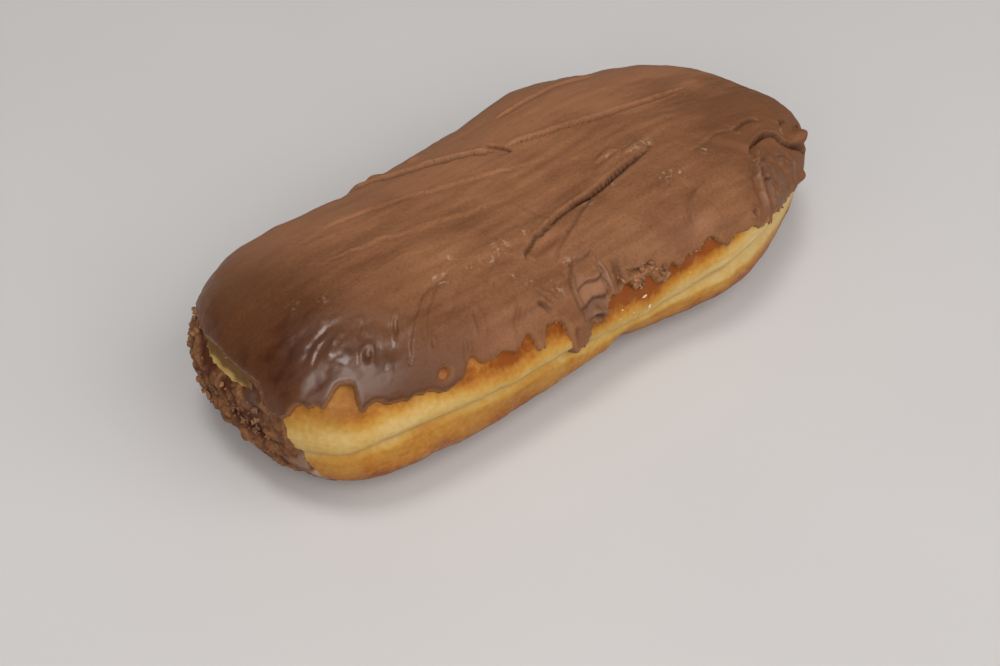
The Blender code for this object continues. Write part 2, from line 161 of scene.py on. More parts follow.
# Knife marks on top, in plan: their points, the step up on their left and how far it takes to fade, the
# depth and half width of the crack at the step's foot, and how far the mark wavers
TOP_MARKS = (
    (((-30, 33), (-25, 30), (-17, 26), (-8, 21.3), (0.7, 15.7), (5, 12.7)), 0.9, 6, 0.8, 0.45, 0.4),
    (((4, 13.6), (9, 11.9), (13, 10.8), (21.4, 8.3), (32.6, 4.9), (46, 3.6), (64.8, 2.9)),
     0.75, 7, 0.5, 0.35, 0.1),
    (((-19.6, -22.5), (-18.6, -20.9), (-16, -19.6), (-12.4, -18.2), (-8.4, -17.4), (-5, -16.6)),
     0.8, 8, 0.9, 0.32, 0.2),
    (((-9.4, -17.6), (-4, -16.2), (-1.9, -15.8), (3.4, -15.6), (8.2, -15.9), (14.2, -15.1), (20.3, -14.1),
      (28.5, -12.9), (34.8, -11.6)), 0.8, 8, 2.5, 0.5, 0.12),
    (((10, -16.9), (2, -19.2), (-3.8, -21.5), (-10, -24.3), (-13.5, -27.5)), 0.35, 6, 0.2, 0.5, 0.3),
    (((14, 26), (21.3, 26.1), (30.1, 26.3), (39.8, 27.1), (53.5, 25.3)), 0.5, 6, 0.4, 0.5, 0.1),
    (((39.4, -20.3), (46, -19.1), (51.8, -17.7), (56.7, -19.1)), 0.25, 6, 0.35, 0.35, 0.2),
    (((56.7, -19.4), (61.6, -18), (65.5, -18), (67.4, -19.8)), 0.4, 5, 0.7, 0.38, 0.1),
    (((71.6, -22.4), (73.5, -21.0), (76.5, -21.0)), 0.4, 4, 0.7, 0.35, 0.1),
    (((53.5, -28), (56, -26), (58.5, -24.9), (61.5, -24.2), (65, -23.4), (67.6, -24.4), (68.4, -27.0),
      (70.4, -27.8), (74.5, -27.2), (78, -27.0)), 1.1, 14, 1.7, 0.34, 0.25),
    (((22.2, -37), (23.5, -34), (26.5, -31.5), (31.6, -30)), -0.6, 6, 0.15, 0.5, 0.2),
    (((5.6, 9.4), (5.6, 11.6), (5, 14), (3, 17)), -0.7, 3, 0.8, 0.4, 0.2),
    (((-24.7, -31), (-23.1, -33.1), (-22, -34.8), (-21.5, -36)), 0.7, 4, 0.8, 0.45, 0.2),
    (((-62, 6), (-40, 2), (-20, -2), (2, -5)), 0.25, 9, 0.1, 0.7, 0.6),
    (((-50, 18), (-28, 14), (-6, 7), (12, 0)), 0.3, 9, 0.1, 0.7, 0.6),
    (((8, -4), (30, -5), (52, -7)), 0.3, 8, 0.1, 0.7, 0.5),
)
# Soft ridges and hollows in plan: one end, the other end, the rise and the half width
TOP_RIDGES = (
    ((-60, -4), (-8, -10), 0.5, 6.0), ((-58, -20), (-38, -30), 0.4, 4.5), ((-44, -18), (-30, -31), 0.5, 4.5),
    ((-2, -22), (16, -30), 0.6, 7.0), ((-12, 25), (3, 26), 0.2, 4.0),
    ((24, -4), (60, -6), 0.5, 8.0), ((30, -30), (48, -28), 0.4, 6.0), ((-17, -21.5), (-6, -19.6), -1.3, 3.0),
    ((-14, -14), (12, -11), -0.8, 4.5), ((14, -11.6), (24, -10.4), 0.6, 1.6),
    ((58, -27.5), (66, -27), -0.5, 4.0),
    ((17, -8.8), (25, -7.2), 0.8, 1.2), ((24, -10.9), (33, -9.9), 0.7, 1.0),
    ((-9, -33), (-10, -36), -0.5, 3.5), ((-22, 32), (-18, 33), 0.9, 2.4), ((-12, 29), (-8, 29), 0.8, 2.2),
    ((-62, 4), (-20, 0), 0.3, 4.0), ((-40, -16), (-3, -15.8), 0.35, 3.0),
)
# Where whitish glints are painted as highlights, in plan: the place and the reach
GLINT_PLACES = (
    (-22.4, -26.7, 1.6), (-24.5, -25, 1.4), (-33.8, -12.5, 1.4), (-20.5, -15.3, 1.6), (-18.4, -31.1, 1.6),
    (-64.5, -4.6, 1.2), (-70, -0.6, 1.4), (26.6, -23.2, 2.4), (30.6, -24, 2.2), (-26.2, -18.1, 1.2),
    (-10.9, -27.8, 1.2), (-39.9, -15.9, 2.4), (-31, -16.6, 2), (-22.6, -17.1, 2.6), (-14, -16.4, 2),
    (22.5, -8.2, 2.6), (28, -10.4, 2.4), (33, -10.6, 1.8), (6, -17.4, 1.6), (14, -17, 1.4),
    (57, -20, 1.2), (70, -24, 1.2), (44, -22, 2),
)
# Flow lines down the front, as points of around and climb, with the depth and width of their furrow and the
# height of the ridge beside it
FLOW_LINES = (
    (((288.1, 37), (281.6, 34), (277.4, 29.4), (275.6, 24.2), (275.3, 17)), 0.3, 0.8, 0.15),
    (((282.8, 35.6), (276.8, 33.5), (272.9, 28.6), (270.8, 23.4), (270.2, 18)), 0.35, 0.8, 0.2),
    (((273.8, 32.7), (271.4, 28.3), (269.9, 23.6)), 0.3, 0.6, 0.15),
    (((297, 37), (290, 33), (284.5, 27), (282.5, 20)), 0.2, 1.0, 0.1),
    (((306, 37), (299, 32), (293, 26), (290.5, 19)), 0.2, 1.1, 0.1),
    (((246, 31), (243.5, 26), (243, 21)), 0.15, 1.0, 0.3),
    (((250.5, 31), (248, 27.5), (247.3, 24)), 0.12, 1.1, 0.3),
    (((266, 24), (264, 20), (264.5, 17)), 0.15, 0.8, 0.25),
    (((305, 22), (301, 17), (300.5, 13)), 0.6, 0.7, 0.3),
    (((286.5, 20), (285.8, 16), (286.6, 13)), 0.4, 0.6, 0.4),
    (((325.6, 24.5), (322.2, 21.0), (320.4, 17.0), (320.6, 12.5), (321.8, 9.0)), 0.8, 0.45, 0.7),
    (((330.8, 21.0), (330.2, 15.0), (329.9, 11.5), (329.2, 8.0)), 0.7, 0.45, 0.9),
    (((335.6, 19.0), (334.2, 15.0), (333.6, 11.0), (333.0, 9.4)), 0.9, 1.1, 0.6),
    (((322.4, 7.4), (324.6, 7.9), (326.6, 7.0), (328.4, 4.2)), 1.3, 0.6, 1.1),
    (((323.4, 6.8), (323.2, 4.0), (322.4, 1.6)), 0.9, 0.6, 0.6),
    (((318.6, 8.0), (318.4, 4.8), (318.2, 2.0)), 0.7, 0.6, 0.5),
    (((310.0, 22.0), (313.2, 17.0), (315.0, 13.0), (315.8, 9.5)), 0.45, 0.5, 0.4),
    (((337.0, 13.8), (341.0, 12.4), (345.0, 12.9)), 0.9, 0.6, 0.8),
    (((336.4, 10.4), (340.0, 9.6), (344.0, 10.2)), 0.9, 0.6, 0.7),
    (((399.5, 26.5), (391.8, 23.8), (386.2, 20.4), (381.4, 15.2), (379.6, 9.5)), 0.5, 0.9, 1.3),
    (((398, 23.0), (391.5, 20.0), (387.0, 15.6), (384.0, 10), (383.0, 6.5)), 0.6, 0.5, 0.6),
    (((402, 19.0), (396.4, 16.4), (391.4, 12.6), (388.6, 8.6)), 0.4, 0.5, 0.35),
    (((404, 15.5), (400.6, 9.6), (398.2, 6.6)), 0.5, 0.6, 0.4),
)
# The scraped strip above the long drip: its middle line as around at two climbs, half its width, the height
# of its steps and their climbs, and how far up it is shaded
SCRAPED = {"foot": (325.0, 8.0), "head": (327.6, 24.0), "half": 4.4, "height": 1.0,
           "steps": (8.0, 12.2, 17.0, 24.0), "shaded_to": 12.0}
# Burst bubbles and holes at around and climb: half their width and height, and the depth, which is negative
# for a bump
BUBBLES = (
    ((259.5, 23.6), (1.3, 1.9), 0.8), ((267.6, 28.3), (0.9, 3.0), 0.7), ((291.1, 21.8), (1.2, 3.2), 0.45),
    ((277.3, 21.5), (0.7, 1.2), 0.5), ((270.6, 19.4), (0.5, 0.6), 0.4), ((389.0, 17.0), (1.2, 1.0), 1.1),
    ((401.3, 16.8), (1.0, 0.8), 0.9), ((392.5, 23.0), (0.9, 0.7), 0.9), ((376.3, 12.2), (1.1, 1.3), 1.2),
    ((413.0, 13.6), (4.2, 3.2), -3.0), ((405.0, 4.4), (2.8, 2.4), -1.4),
    ((305.2, 33.0), (0.5, 0.6), 0.3), ((256.8, 30.0), (0.8, 2.4), 0.3),
)


def through(stations, values, t):
    """A smooth curve through the values at their stations, read at t: a cubic between each two."""
    stations, values = np.asarray(stations, float), np.asarray(values, float)
    slopes = np.gradient(values, stations)
    t = np.clip(t, stations[0], stations[-1])
    i = np.clip(np.searchsorted(stations, t) - 1, 0, len(stations) - 2)
    width = stations[i + 1] - stations[i]
    a = (t - stations[i]) / width
    return ((1 + 2 * a) * (1 - a) ** 2 * values[i] + a * (1 - a) ** 2 * width * slopes[i]
            + a * a * (3 - 2 * a) * values[i + 1] + a * a * (a - 1) * width * slopes[i + 1])


def ease(t, low, high):
    """0 below low, 1 above high, and a smooth S between."""
    k = np.clip((t - low) / (high - low), 0, 1)
    return k * k * (3 - 2 * k)


def plateau(t, begin, full, last, end):
    """0 up to begin, 1 from full to last, and 0 again from end on."""
    return ease(t, begin, full) * (1 - ease(t, last, end))


def on_right(around, begin, full):
    """0 up to begin, 1 from full on round the front, and 0 again at the +X tip, where around starts anew."""
    return plateau(np.mod(around, GIRTH), begin, full, *TIP_FADE)


def hump(t, middle, half_width):
    """1 at the middle, falling smoothly to 0 at half_width from it."""
    return np.clip(1 - ((t - middle) / half_width) ** 2, 0, 1) ** 2


def unevenness(points, scale, seed=1):
    """Smooth random relief from -1 to 1: random values at the corners of cubes of this size, and between
    them an eased blend."""
    draw = np.random.default_rng(seed)
    values = draw.uniform(-1, 1, 1024)
    shuffle = draw.permutation(1024)
    places = points / scale
    cell = np.floor(places).astype(int)
    part = places - cell
    part = part * part * (3 - 2 * part)
    total = np.zeros(places.shape[:-1])
    for step in np.ndindex(2, 2, 2):
        x, y, z = np.moveaxis(cell + np.array(step), -1, 0) % 1024
        mixed = shuffle[(shuffle[(shuffle[x] + y) % 1024] + z) % 1024]
        weight = np.prod(np.where(np.array(step) == 1, part, 1 - part), axis=-1)
        total += weight * values[mixed]
    return total


def by_corner(c, s, four):
    """The four corners' values, blended by the direction (c, s) in plan."""
    right, behind = ease(c, -0.5, 0.5), ease(s, -0.5, 0.5)
    front = (1 - right) * four[0] + right * four[2]
    back = (1 - right) * four[1] + right * four[3]
    return (1 - behind) * front + behind * back


def plan(turn):
    """The outline at the belt: a superellipse whose half width follows the stations."""
    c, s = np.cos(turn), np.sin(turn)
    power = 2 / by_corner(c, s, CORNER_POWERS)
    x = HALF_LENGTH * np.sign(c) * (np.abs(c) + TINY) ** power
    behind = 0.5 + 0.5 * np.clip(s / SIDE_BLEND, -1, 1)
    half_width = ((1 - behind) * through(STATIONS, FRONT_HALF_WIDTHS, x / HALF_LENGTH)
                  + behind * through(STATIONS, BACK_HALF_WIDTHS, x / HALF_LENGTH))
    return x, half_width * np.sign(s) * (np.abs(s) + TINY) ** power


def outline_table():
    """The way along the outline at closely spaced turns."""
    turns = START_TURN + np.linspace(0, 2 * np.pi, TURN_COUNT)
    x, y = plan(turns)
    return turns, np.concatenate([[0], np.cumsum(np.hypot(np.diff(x), np.diff(y)))])


def climb_table():
    """The way up the middling section at closely spaced lifts, from its belt."""
    half_width, above, below = MIDDLING
    lifts = np.linspace(-np.pi / 2, np.pi / 2, LIFT_COUNT)
    share = (np.cos(lifts).clip(0) + TINY) ** (2 / UNDERSIDE_POWER)
    height = np.sign(lifts) * np.abs(np.sin(lifts)) ** (2 / UNDERSIDE_POWER)
    rise = np.where(lifts > 0, above, below) * height
    way = np.concatenate([[0], np.cumsum(np.hypot(np.diff(half_width * share), np.diff(rise)))])
    return lifts, way - np.interp(0, lifts, way)


TURNS, AROUND_WAY = outline_table()
GIRTH = AROUND_WAY[-1]
LIFTS, CLIMB_WAY = climb_table()
CLIMB_TOP = CLIMB_WAY[-1]
CLIMB_FOOT = CLIMB_WAY[0]


def form(around, climb):
    """The smooth form: the outline drawn in towards a spine as it rises, each section a superellipse."""
    turn = np.interp(np.mod(around, GIRTH), AROUND_WAY, TURNS)
    lift = np.interp(climb, CLIMB_WAY, LIFTS)
    turn, lift = np.broadcast_arrays(turn, lift)
    x, y = plan(turn)
    shoulder = by_corner(np.cos(turn), np.sin(turn), SHOULDER_POWERS)
    power = 2 / np.where(lift > 0, shoulder, UNDERSIDE_POWER)
    share = (np.cos(lift).clip(0) + TINY) ** power
    height = (np.abs(np.sin(lift)) + TINY) ** power
    px = x * (SPINE_SHARE + (1 - SPINE_SHARE) * share)
    py = y * share
    top = through(STATIONS, TOP_HEIGHTS, px / HALF_LENGTH)
    pz = BELT_HEIGHT + np.where(lift > 0, top - BELT_HEIGHT, -BELT_HEIGHT - BASE_SINK) * height
    px = px + np.where(x > 0, END_SKEW[1], END_SKEW[0]) * py * (px / HALF_LENGTH) ** 2
    return np.stack([px + CENTRE[0], py + CENTRE[1], pz.clip(0)], -1)


def outward(around, climb, reach=0.3):
    """The unit normal of the form, from the slopes along its two ways."""
    climb = np.minimum(climb, CLIMB_TOP - 5 * reach)
    along = form(around + reach, climb) - form(around - reach, climb)
    up = form(around, climb + reach) - form(around, climb - reach)
    normal = np.cross(along, up)
    return normal / np.linalg.norm(normal, axis=-1, keepdims=True)


def stood_off(around, climb, distance):
    """The form moved out along its normal by this distance."""
    return form(around, climb) + outward(around, climb) * distance[..., None]


def back_drips():
    """Drips on the side away from the front, spread evenly and then moved by a seeded draw."""
    count = BACK_DRIPS["count"]
    draw = np.random.default_rng(BACK_DRIPS["seed"])
    stretch = np.arange(count) + draw.uniform(0.2, 0.8, count)
    places = BACK_DRIPS["first"] + stretch * BACK_DRIPS["span"] / count
    return zip(places, draw.uniform(*BACK_DROPS, count), draw.uniform(*BACK_DRIP_HALF_WIDTHS, count))


def rim_level(around):
    """The icing's level line without its drips."""
    return through(RIM_AROUND, RIM_CLIMB, np.mod(around, GIRTH))


def lobe(t, middle, half_width, flat):
    """1 in the middle and 0 from half_width on, with a blunt end and steep sides."""
    return 1 - ease(np.abs(t - middle), flat * half_width, half_width)


def rim(around):
    """The icing's rim: its level line, less every drip's lobe, with a ragged edge of two scales, and all
    of it wandering a little sideways."""
    outline = form(around, 0 * around)
    wandered = around + RIM_RAGGED["wander"] * unevenness(outline, 3.0, 13)
    drop = sum(fall * lobe(wandered, place, half, DRIP_FLAT if fall > 0 else NOTCH_FLAT)
               for place, fall, half in (*DRIPS, *back_drips()))
    ragged = (unevenness(outline, RIM_RAGGED["scale"], 11)
              + RIM_RAGGED["fine"] * unevenness(outline, RIM_RAGGED["scale"] / 3, 12))
    torn = 0.85 + 0.55 * on_right(around, TORN_FROM, TORN_TO)
    return rim_level(around) - drop + RIM_RAGGED["height"] * torn * ragged


def crease_level(around):
    """The climb of the crease, which wavers a little."""
    outline = form(around, 0 * around)
    return through(CREASE_AROUND, CREASE_CLIMB, np.mod(around, GIRTH)) + 0.4 * unevenness(outline, 6.0, 13)


def oval_share(around, climb, place, half):
    """How far out from an oval's middle each point is, as a share of the way to its edge."""
    return np.hypot((around - place[0]) / half[0], (climb - place[1]) / half[1])


def within(around, climb, oval, full, end):
    """1 out to the share full of the oval, then falling smoothly to 0 at the share end."""
    return 1 - ease(oval_share(around, climb, oval["place"], oval["half"]), full, end)


def inside_hole(around, climb, hole):
    """How far inside an oval hole each point is, negative outside."""
    level = climb - hole["slant"] * (around - hole["place"][0])
    return (1 - oval_share(around, level, hole["place"], hole["half"])) * hole["half"][1]


def inside_cap(around, climb):
    """How far inside the icing's rim each point is, negative outside: the least distance to its curve,
    tried at places up to 5 mm along."""
    gap = np.abs(climb - rim(around))
    for offset in np.arange(-5, 5.01, 0.25):
        gap = np.minimum(gap, np.hypot(offset, climb - rim(around + offset)))
    return gap * np.sign(climb - rim(around))


def inside_smear(around, climb):
    """How far inside the smear on the -X end each point is: it widens downwards on its right side."""
    right = SMEAR["to"] + SMEAR["slant"] * (SMEAR["top"] - climb)
    foot = climb - SMEAR["foot"] - np.sin(around * 0.55) - 0.7 * np.sin(around * 1.3)
    return np.minimum(np.minimum(right - around, around - SMEAR["from"]), foot)


def covered(around, climb):
    """How much icing draws the dough in: 0 on bare dough and 1 well under the icing."""
    level = rim_level(around)
    window = ease(inside_hole(around, climb, WINDOW), -1.5, 1.0)
    return np.maximum(ease(climb, level, level + COVER_WAY), 0.4 * window)


def dent(around, off, size):
    """A hollow in the lower crust: a hump around its place and below the crease."""
    beside_place = hump(around, size["around"], size["reach"])
    return size["depth"] * beside_place * hump(off, -size["below"], size["half_height"])


def dough_relief(around, climb):
    """How far the dough stands out from the form: crease, lip, dents, blisters and wrinkles, drawn in under
    the icing."""
    off = climb - crease_level(around)
    places = form(around, climb)
    bare = 1 - ease(climb, rim_level(around) - 2, rim_level(around) + 2)
    crease = (LIP["height"] * hump(off, LIP["above_crease"], LIP["half_width"])
              - CREASE["depth"] * hump(off, -CREASE["half_width"] / 2, CREASE["half_width"]))
    crease = crease * (1 - 0.45 * hump(around, 240, 40))
    second = -0.35 * hump(off - 2.6 - 0.8 * unevenness(places, 9.0, 21), 0, 0.6) * on_right(around, 330, 345)
    past_step = ease(around, CRUST_STEP["around"] - 1, CRUST_STEP["around"] + 1)
    dents = past_step * dent(around, off, CRUST_STEP) + dent(around, off, WAIST_FOLD)
    crust = ease(-off, 0, 3) + ease(off, 3, 7)
    blisters = 0.35 * unevenness(places, 7.0, 22) + 0.16 * unevenness(places, 2.4, 23)
    wrinkles = 0.09 * unevenness(places * (1, 1, 2.2), 1.5, 24)
    above_base = ease(places[..., 2], 0.3, 4.0)
    relief = (crease + second) * bare - dents + crust * blisters + wrinkles
    return relief * above_base - ICING_INSET * covered(around, climb)


def beside(points, line):
    """For each point of a plane: its signed distance to the line, positive on its left, and its share of
    the way along."""
    line = np.asarray(line, float)
    start, run = line[:-1], np.diff(line, axis=0)
    length = np.hypot(*run.T)
    before = np.cumsum(length) - length
    best = np.full(points.shape[:-1], np.inf)
    signed, way = np.zeros_like(best), np.zeros_like(best)
    for begin, step, size, done in zip(start, run, length, before):
        from_start = points - begin
        share = np.clip((from_start @ step) / size**2, 0, 1)
        gap = np.linalg.norm(from_start - share[..., None] * step, axis=-1)
        side = np.where(step[0] * from_start[..., 1] - step[1] * from_start[..., 0] < 0, -1.0, 1.0)
        nearer = gap < best
        best = np.where(nearer, gap, best)
        signed = np.where(nearer, gap * side, signed)
        way = np.where(nearer, (done + share * size) / length.sum(), way)
    return signed, way


def knife_relief(places):
    """Each mark is a step up on its left that fades away from its edge, with a small bead on the edge and a
    crack at its foot, and each ridge is a long hump. The second result is how deep in a crack each point
    lies, from 0 to 1, which sets the icing's painted shade there."""
    points = places[..., :2] - np.array(CENTRE)
    relief, crack = np.zeros(points.shape[:-1]), np.zeros(points.shape[:-1])
    for line, rise, fade, depth, width, waver in TOP_MARKS:
        off, way = beside(points, line)
        off = off + waver * (unevenness(places, 2.5, 31) + 0.4 * unevenness(places, 0.9, 32))
        ends = ease(way, 0, 0.12) * (1 - ease(way, 0.88, 1))
        step = ease(off, -0.4, 0.3) * np.exp(-off.clip(0) / fade)
        relief += rise * ends * (step + 0.2 * hump(off, 0.6, 0.6))
        taper = 0.35 + 0.65 * np.sin(np.pi * way.clip(0, 1))
        furrow = ends * np.exp(-(((off + width) / (width * taper)) ** 2))
        relief -= depth * furrow
        crack = np.maximum(crack, np.minimum(1.7 * furrow, 1) * min(depth, 1))
    for start, end, rise, half_width in TOP_RIDGES:
        off, way = beside(points, (start, end))
        relief += rise * hump(off, 0, half_width) * np.sin(np.pi * way.clip(0, 1)) ** 0.5
    return relief, crack


def flow_relief(around, climb):
    """Furrows down the front with a raised edge, burst bubbles as hollows with a raised ring, bumps without
    one, and the scraped strip's steps. The second result is how deep in shade each point lies and the third
    how near it is to the top of a ridge or the middle of the strip, both from 0 to 1."""
    points = np.stack(np.broadcast_arrays(around, climb), -1)
    relief, shade, crest = np.zeros((3, *points.shape[:-1]))
    for line, depth, width, ridge in FLOW_LINES:
        off, way = beside(points, line)
        ends = np.sin(np.pi * way.clip(0, 1)) ** 0.5
        furrow = ends * np.exp(-((off / width) ** 2))
        raised = ends * hump(off, 1.5 * width, 1.4 * width)
        relief += ridge * raised - depth * furrow
        crest = np.maximum(crest, raised * ease(ridge, 0.5, 1.1))
        shade = np.maximum(shade, furrow * ease(depth, 0.3, 1.2))
    for place, half, depth in BUBBLES:
        share = oval_share(around, climb, place, half)
        relief += depth * (0.45 * hump(share, 1.25, 0.6) * (depth > 0) - hump(share, 0, 1.05))
        shade = np.maximum(shade, hump(share, 0, 1.0) * ease(depth, 0.6, 1.0))
    (foot, low), (head, high) = SCRAPED["foot"], SCRAPED["head"]
    off = np.abs(around - foot - (head - foot) * (climb - low) / (high - low))
    strip = 1 - ease(off, SCRAPED["half"] - 0.5, SCRAPED["half"])
    level = climb + 0.4 * np.sin(around)
    lines = np.zeros_like(relief)
    for start, end in zip(SCRAPED["steps"], SCRAPED["steps"][1:]):
        tread = (level > start) * (1 - ease(level, end - 0.5, end)) * (level - start) / (end - start)
        relief -= SCRAPED["height"] * strip * tread
        lines = np.maximum(lines, hump(level, end - 0.4, 0.7))
    shaded = (level > low) * (level < SCRAPED["shaded_to"])
    shade = np.maximum(shade, strip * (0.8 * lines + 0.5 * shaded))
    return relief, shade, np.maximum(crest, 0.35 * strip * hump(climb, 14, 12))


def sugar(places):
    """How near each point is to a place where whitish glints are painted as highlights, from 0 to 1."""
    points = places[..., :2] - np.array(CENTRE)
    near = np.zeros(points.shape[:-1])
    for x, y, reach in GLINT_PLACES:
        near = np.maximum(near, hump(np.hypot(points[..., 0] - x, points[..., 1] - y), 0, 1.5 * reach))
    return near


def drawn_out(around, climb, stretch, rise, slide):
    """Places on the surface drawn out along the knife's way, so that unevenness at them is streaked."""
    return np.stack([stretch * (around + rise * climb), climb + slide * around, 0 * climb], -1)


def dive(inside):
    """How far a layer's sheet goes under the dough outside its edge."""
    return np.minimum(2.0 * np.maximum(-inside, 0), 1.5)


def cap_layer(around, climb):
    """The cap's outside as its distance off the form, and the masks that its colours follow.

    Its edge is a quarter circle of the icing's thickness, which goes down to nothing on top, where the
    knife's marks and the waves between them are. Off the cap the sheet dives under the dough. The icing is
    pale towards the back, as painted light from behind, and deeper on the front of the +X end and low on
    the front.
    """
    places = form(around, climb)
    x, y, _ = np.moveaxis(places, -1, 0)
    dough = dough_relief(around, climb)
    torn = 0.3 * unevenness(places, 1.6, 41) + 0.2 * unevenness(places, 0.7, 42)
    inside = np.minimum(inside_cap(around, climb), -inside_hole(around, climb, PINHOLE))
    inside = np.minimum(inside, -inside_hole(around, climb, WINDOW) + torn)
    thick = 1.45 + 0.35 * unevenness(places, 5.0, 43)
    bead = np.sqrt(np.clip(1 - (1 - inside / EDGE_RADIUS).clip(0) ** 2, 0, 1))
    settled = ease(inside, 3.0, 16.0)
    marks, crack = knife_relief(places)
    on_top = ease(inside, 1.5, 6.0)
    left_end = ease(-x, WAVES_FROM, WAVES_TO)
    rough = within(around, climb, ROUGH, 0.6, 1.1)
    waves = 0.16 * unevenness(places * (0.2, 1, 1), 2.2, 44) + 0.1 * unevenness(places, 6.0, 45)
    fine = 0.05 * unevenness(places * (0.4, 1, 1), 0.9, 46) + 0.03 * unevenness(places, 0.8, 51)
    flow, shade, crest = flow_relief(around, climb)
    flow = flow * ease(inside, 0.3, 1.5)
    pebbly = unevenness(places * (1, 1, 0.7), 3.6, 47) + 0.35 * unevenness(places, 1.6, 58)
    pebbly = (0.13 + 0.3 * hump(around, 252, 26)) * pebbly * ease(inside, 1, 4) * (1 - ease(climb, 28, 38))
    dragged = drawn_out(around, climb, 0.45, 0.9, -0.55)
    crags = rough * ease(inside, 0.2, 1.5) * (0.55 * unevenness(dragged, 1.5, 52)
                                              + 0.35 * unevenness(places, 1.2, 53))
    outer = (thick * bead * (1 - settled) + marks * on_top + flow + fine * ease(inside, 0.2, 1)
             + waves * on_top * (1 - 0.7 * left_end) + pebbly + crags)
    height = np.where(inside > 0, np.maximum(outer, dough + 0.4 * ease(inside, 0, 0.6)), dough - dive(inside))
    masks = {
        # crack: painted shade in the knife's cracks, the furrows, the holes and the scraped strip's steps
        "crack": np.maximum(crack * on_top, 0.8 * shade * ease(inside, 0.3, 1.5)),
        # Lighter along the icing's edge: the torn edge's own lighter colour, and a painted highlight along
        # the smooth edge on the -X end
        "edge": ((inside > -0.6) * (1 - ease(inside, 0.4, 0.9 + 1.2 * on_right(around, TORN_FROM, TORN_TO)))
                 * (1 + 0.9 * plateau(around, *EDGE_HIGHLIGHT))),
        # Darker towards the -X end: the icing's own darker colour, with painted shade on the end away from
        # the lights
        "dark_end": ease(-x - 0.35 * y + 5 * unevenness(places, 14, 54), DARK_FROM, DARK_TO),
        "gloss": within(around, climb, GLOSSY, 0.5, 1.1),
        # Painted highlight on the tops of ridges and down the middle of the scraped strip
        "crest": crest * ease(inside, 0.3, 1.5),
        "rough": rough * ease(unevenness(dragged, 1.5, 52) + 0.5 * unevenness(places, 3.0, 53), -0.8, 0.5),
        # Pale: lighter towards the back as painted light from behind, deeper on the front of the +X end and
        # low on the front
        "pale": (0.9 * ease(y + 0.1 * x + 4 * unevenness(places, 16, 64), -8, 34)
                 - 0.5 * ease(x, 36, 64) * (1 - ease(y, 0, 25)) - 0.2 * (1 - ease(y, -34, -14))),
        # Where whitish glints are painted as highlights
        "sugar": sugar(places) * ease(inside, 0.5, 1.5),
        # Bloom: lighter patches, partly fat bloom and partly a painted sheen
        "bloom": ease(unevenness(places * (0.35, 1, 1), 4.5, 50), 0.25, 0.8),
    }
    return height, masks


def smear_layer(around, climb):
    """The torn smear's outside as its distance off the form, and the masks that its colours follow: a film
    over the dough with crags drawn out along the knife's way, lower where it dragged the film smooth."""
    places = form(around, climb)
    dough = dough_relief(around, climb)
    torn = 0.45 * unevenness(places, 1.7, 41) + 0.35 * unevenness(places, 0.6, 42)
    ragged = torn + 0.6 * unevenness(places, 4.0, 59)
    inside = np.minimum(inside_smear(around, climb) + ragged,
                        0.6 * torn - inside_hole(around, climb, WINDOW))
    smooth = ease(around + 0.5 * climb, 232, 240)
    leant = around - BAND["slant"] * (BAND["place"][1] - climb)
    band = hump(oval_share(leant, climb, BAND["place"], BAND["half"]), 0, 1)
    calm = np.maximum(smooth, band)
    dragged = drawn_out(around, climb, 0.35, -0.8, 0.8)
    crags = (0.45 * unevenness(places, 3.2, 48) + 0.6 * unevenness(dragged, 1.5, 49)
             + 0.3 * unevenness(dragged, 0.6, 55))
    film = (0.85 + 1.5 * crags * (1 - 0.8 * calm) - 0.4 * calm
            + 0.12 * unevenness(dragged, 0.9, 56) * calm)
    height = dough + np.where(inside > 0, np.maximum(film, THINNEST) * ease(inside, 0, 1.0), -dive(inside))
    masks = {
        # Pit: the low points of the crags, where painted shade goes
        "pit": ease(-crags, -0.2, 0.3) * (1 - 0.8 * calm),
        "band": band,
        "bloom": ease(around - 0.6 * climb, 240, 252) * ease(unevenness(places, 2.0, 57), -0.3, 0.5),
    }
    return height, masks


# Putting meshes in the scene


def bands(first, count, rings, flip=False):
    """Quads between each two rings of this many points, the first ring starting at the index first."""
    i = np.arange(count)
    j = (i + 1) % count
    ring = first + np.arange(rings - 1)[:, None] * count
    quads = np.stack([ring + i, ring + j, ring + count + j, ring + count + i], -1).reshape(-1, 4)
    return quads[:, ::-1] if flip else quads


def zipped(first, count, flip=False):
    """Quads across a ring, from each point to the one opposite, which close it along its middle."""
    k = np.arange(0, count // 2)
    quads = first + np.stack([k, (k + 1) % count, (count - k - 1) % count, (count - k) % count], 1)
    return quads[:, ::-1] if flip else quads


def slab(high, wide):
    """Quads of two grids of points, one under the other, with a wall round their edges."""
    index = np.arange(high * wide).reshape(high, wide)
    top = np.stack([index[:-1, :-1], index[:-1, 1:], index[1:, 1:], index[1:, :-1]], -1).reshape(-1, 4)
    edge = np.concatenate([index[0, :-1], index[:-1, -1], index[-1, :0:-1], index[:0:-1, 0]])
    after = np.roll(edge, -1)
    wall = np.stack([edge, edge + high * wide, after + high * wide, after], 1)
    return np.concatenate([top, top[:, ::-1] + high * wide, wall])


def put_in_scene(name, points, quads, material, masks=None):
    """A named object from points in millimetres and quads, with a float attribute for each mask."""
    mesh = bpy.data.meshes.new(name)
    mesh.from_pydata((np.asarray(points).reshape(-1, 3) * MM).tolist(), [], trimmed(quads))
    mesh.shade_smooth()
    for mask, values in (masks or {}).items():
        stored = mesh.attributes.new(mask, "FLOAT", "POINT")
        stored.data.foreach_set("value", np.ascontiguousarray(values, np.float32).ravel())
    mesh.materials.append(material)
    made = bpy.data.objects.new(name, mesh)
    bpy.context.scene.collection.objects.link(made)
    return made


def trimmed(quads):
    """The quads as lists, each without the corners that it has twice."""
    return [list(dict.fromkeys(quad)) for quad in np.asarray(quads).tolist()]


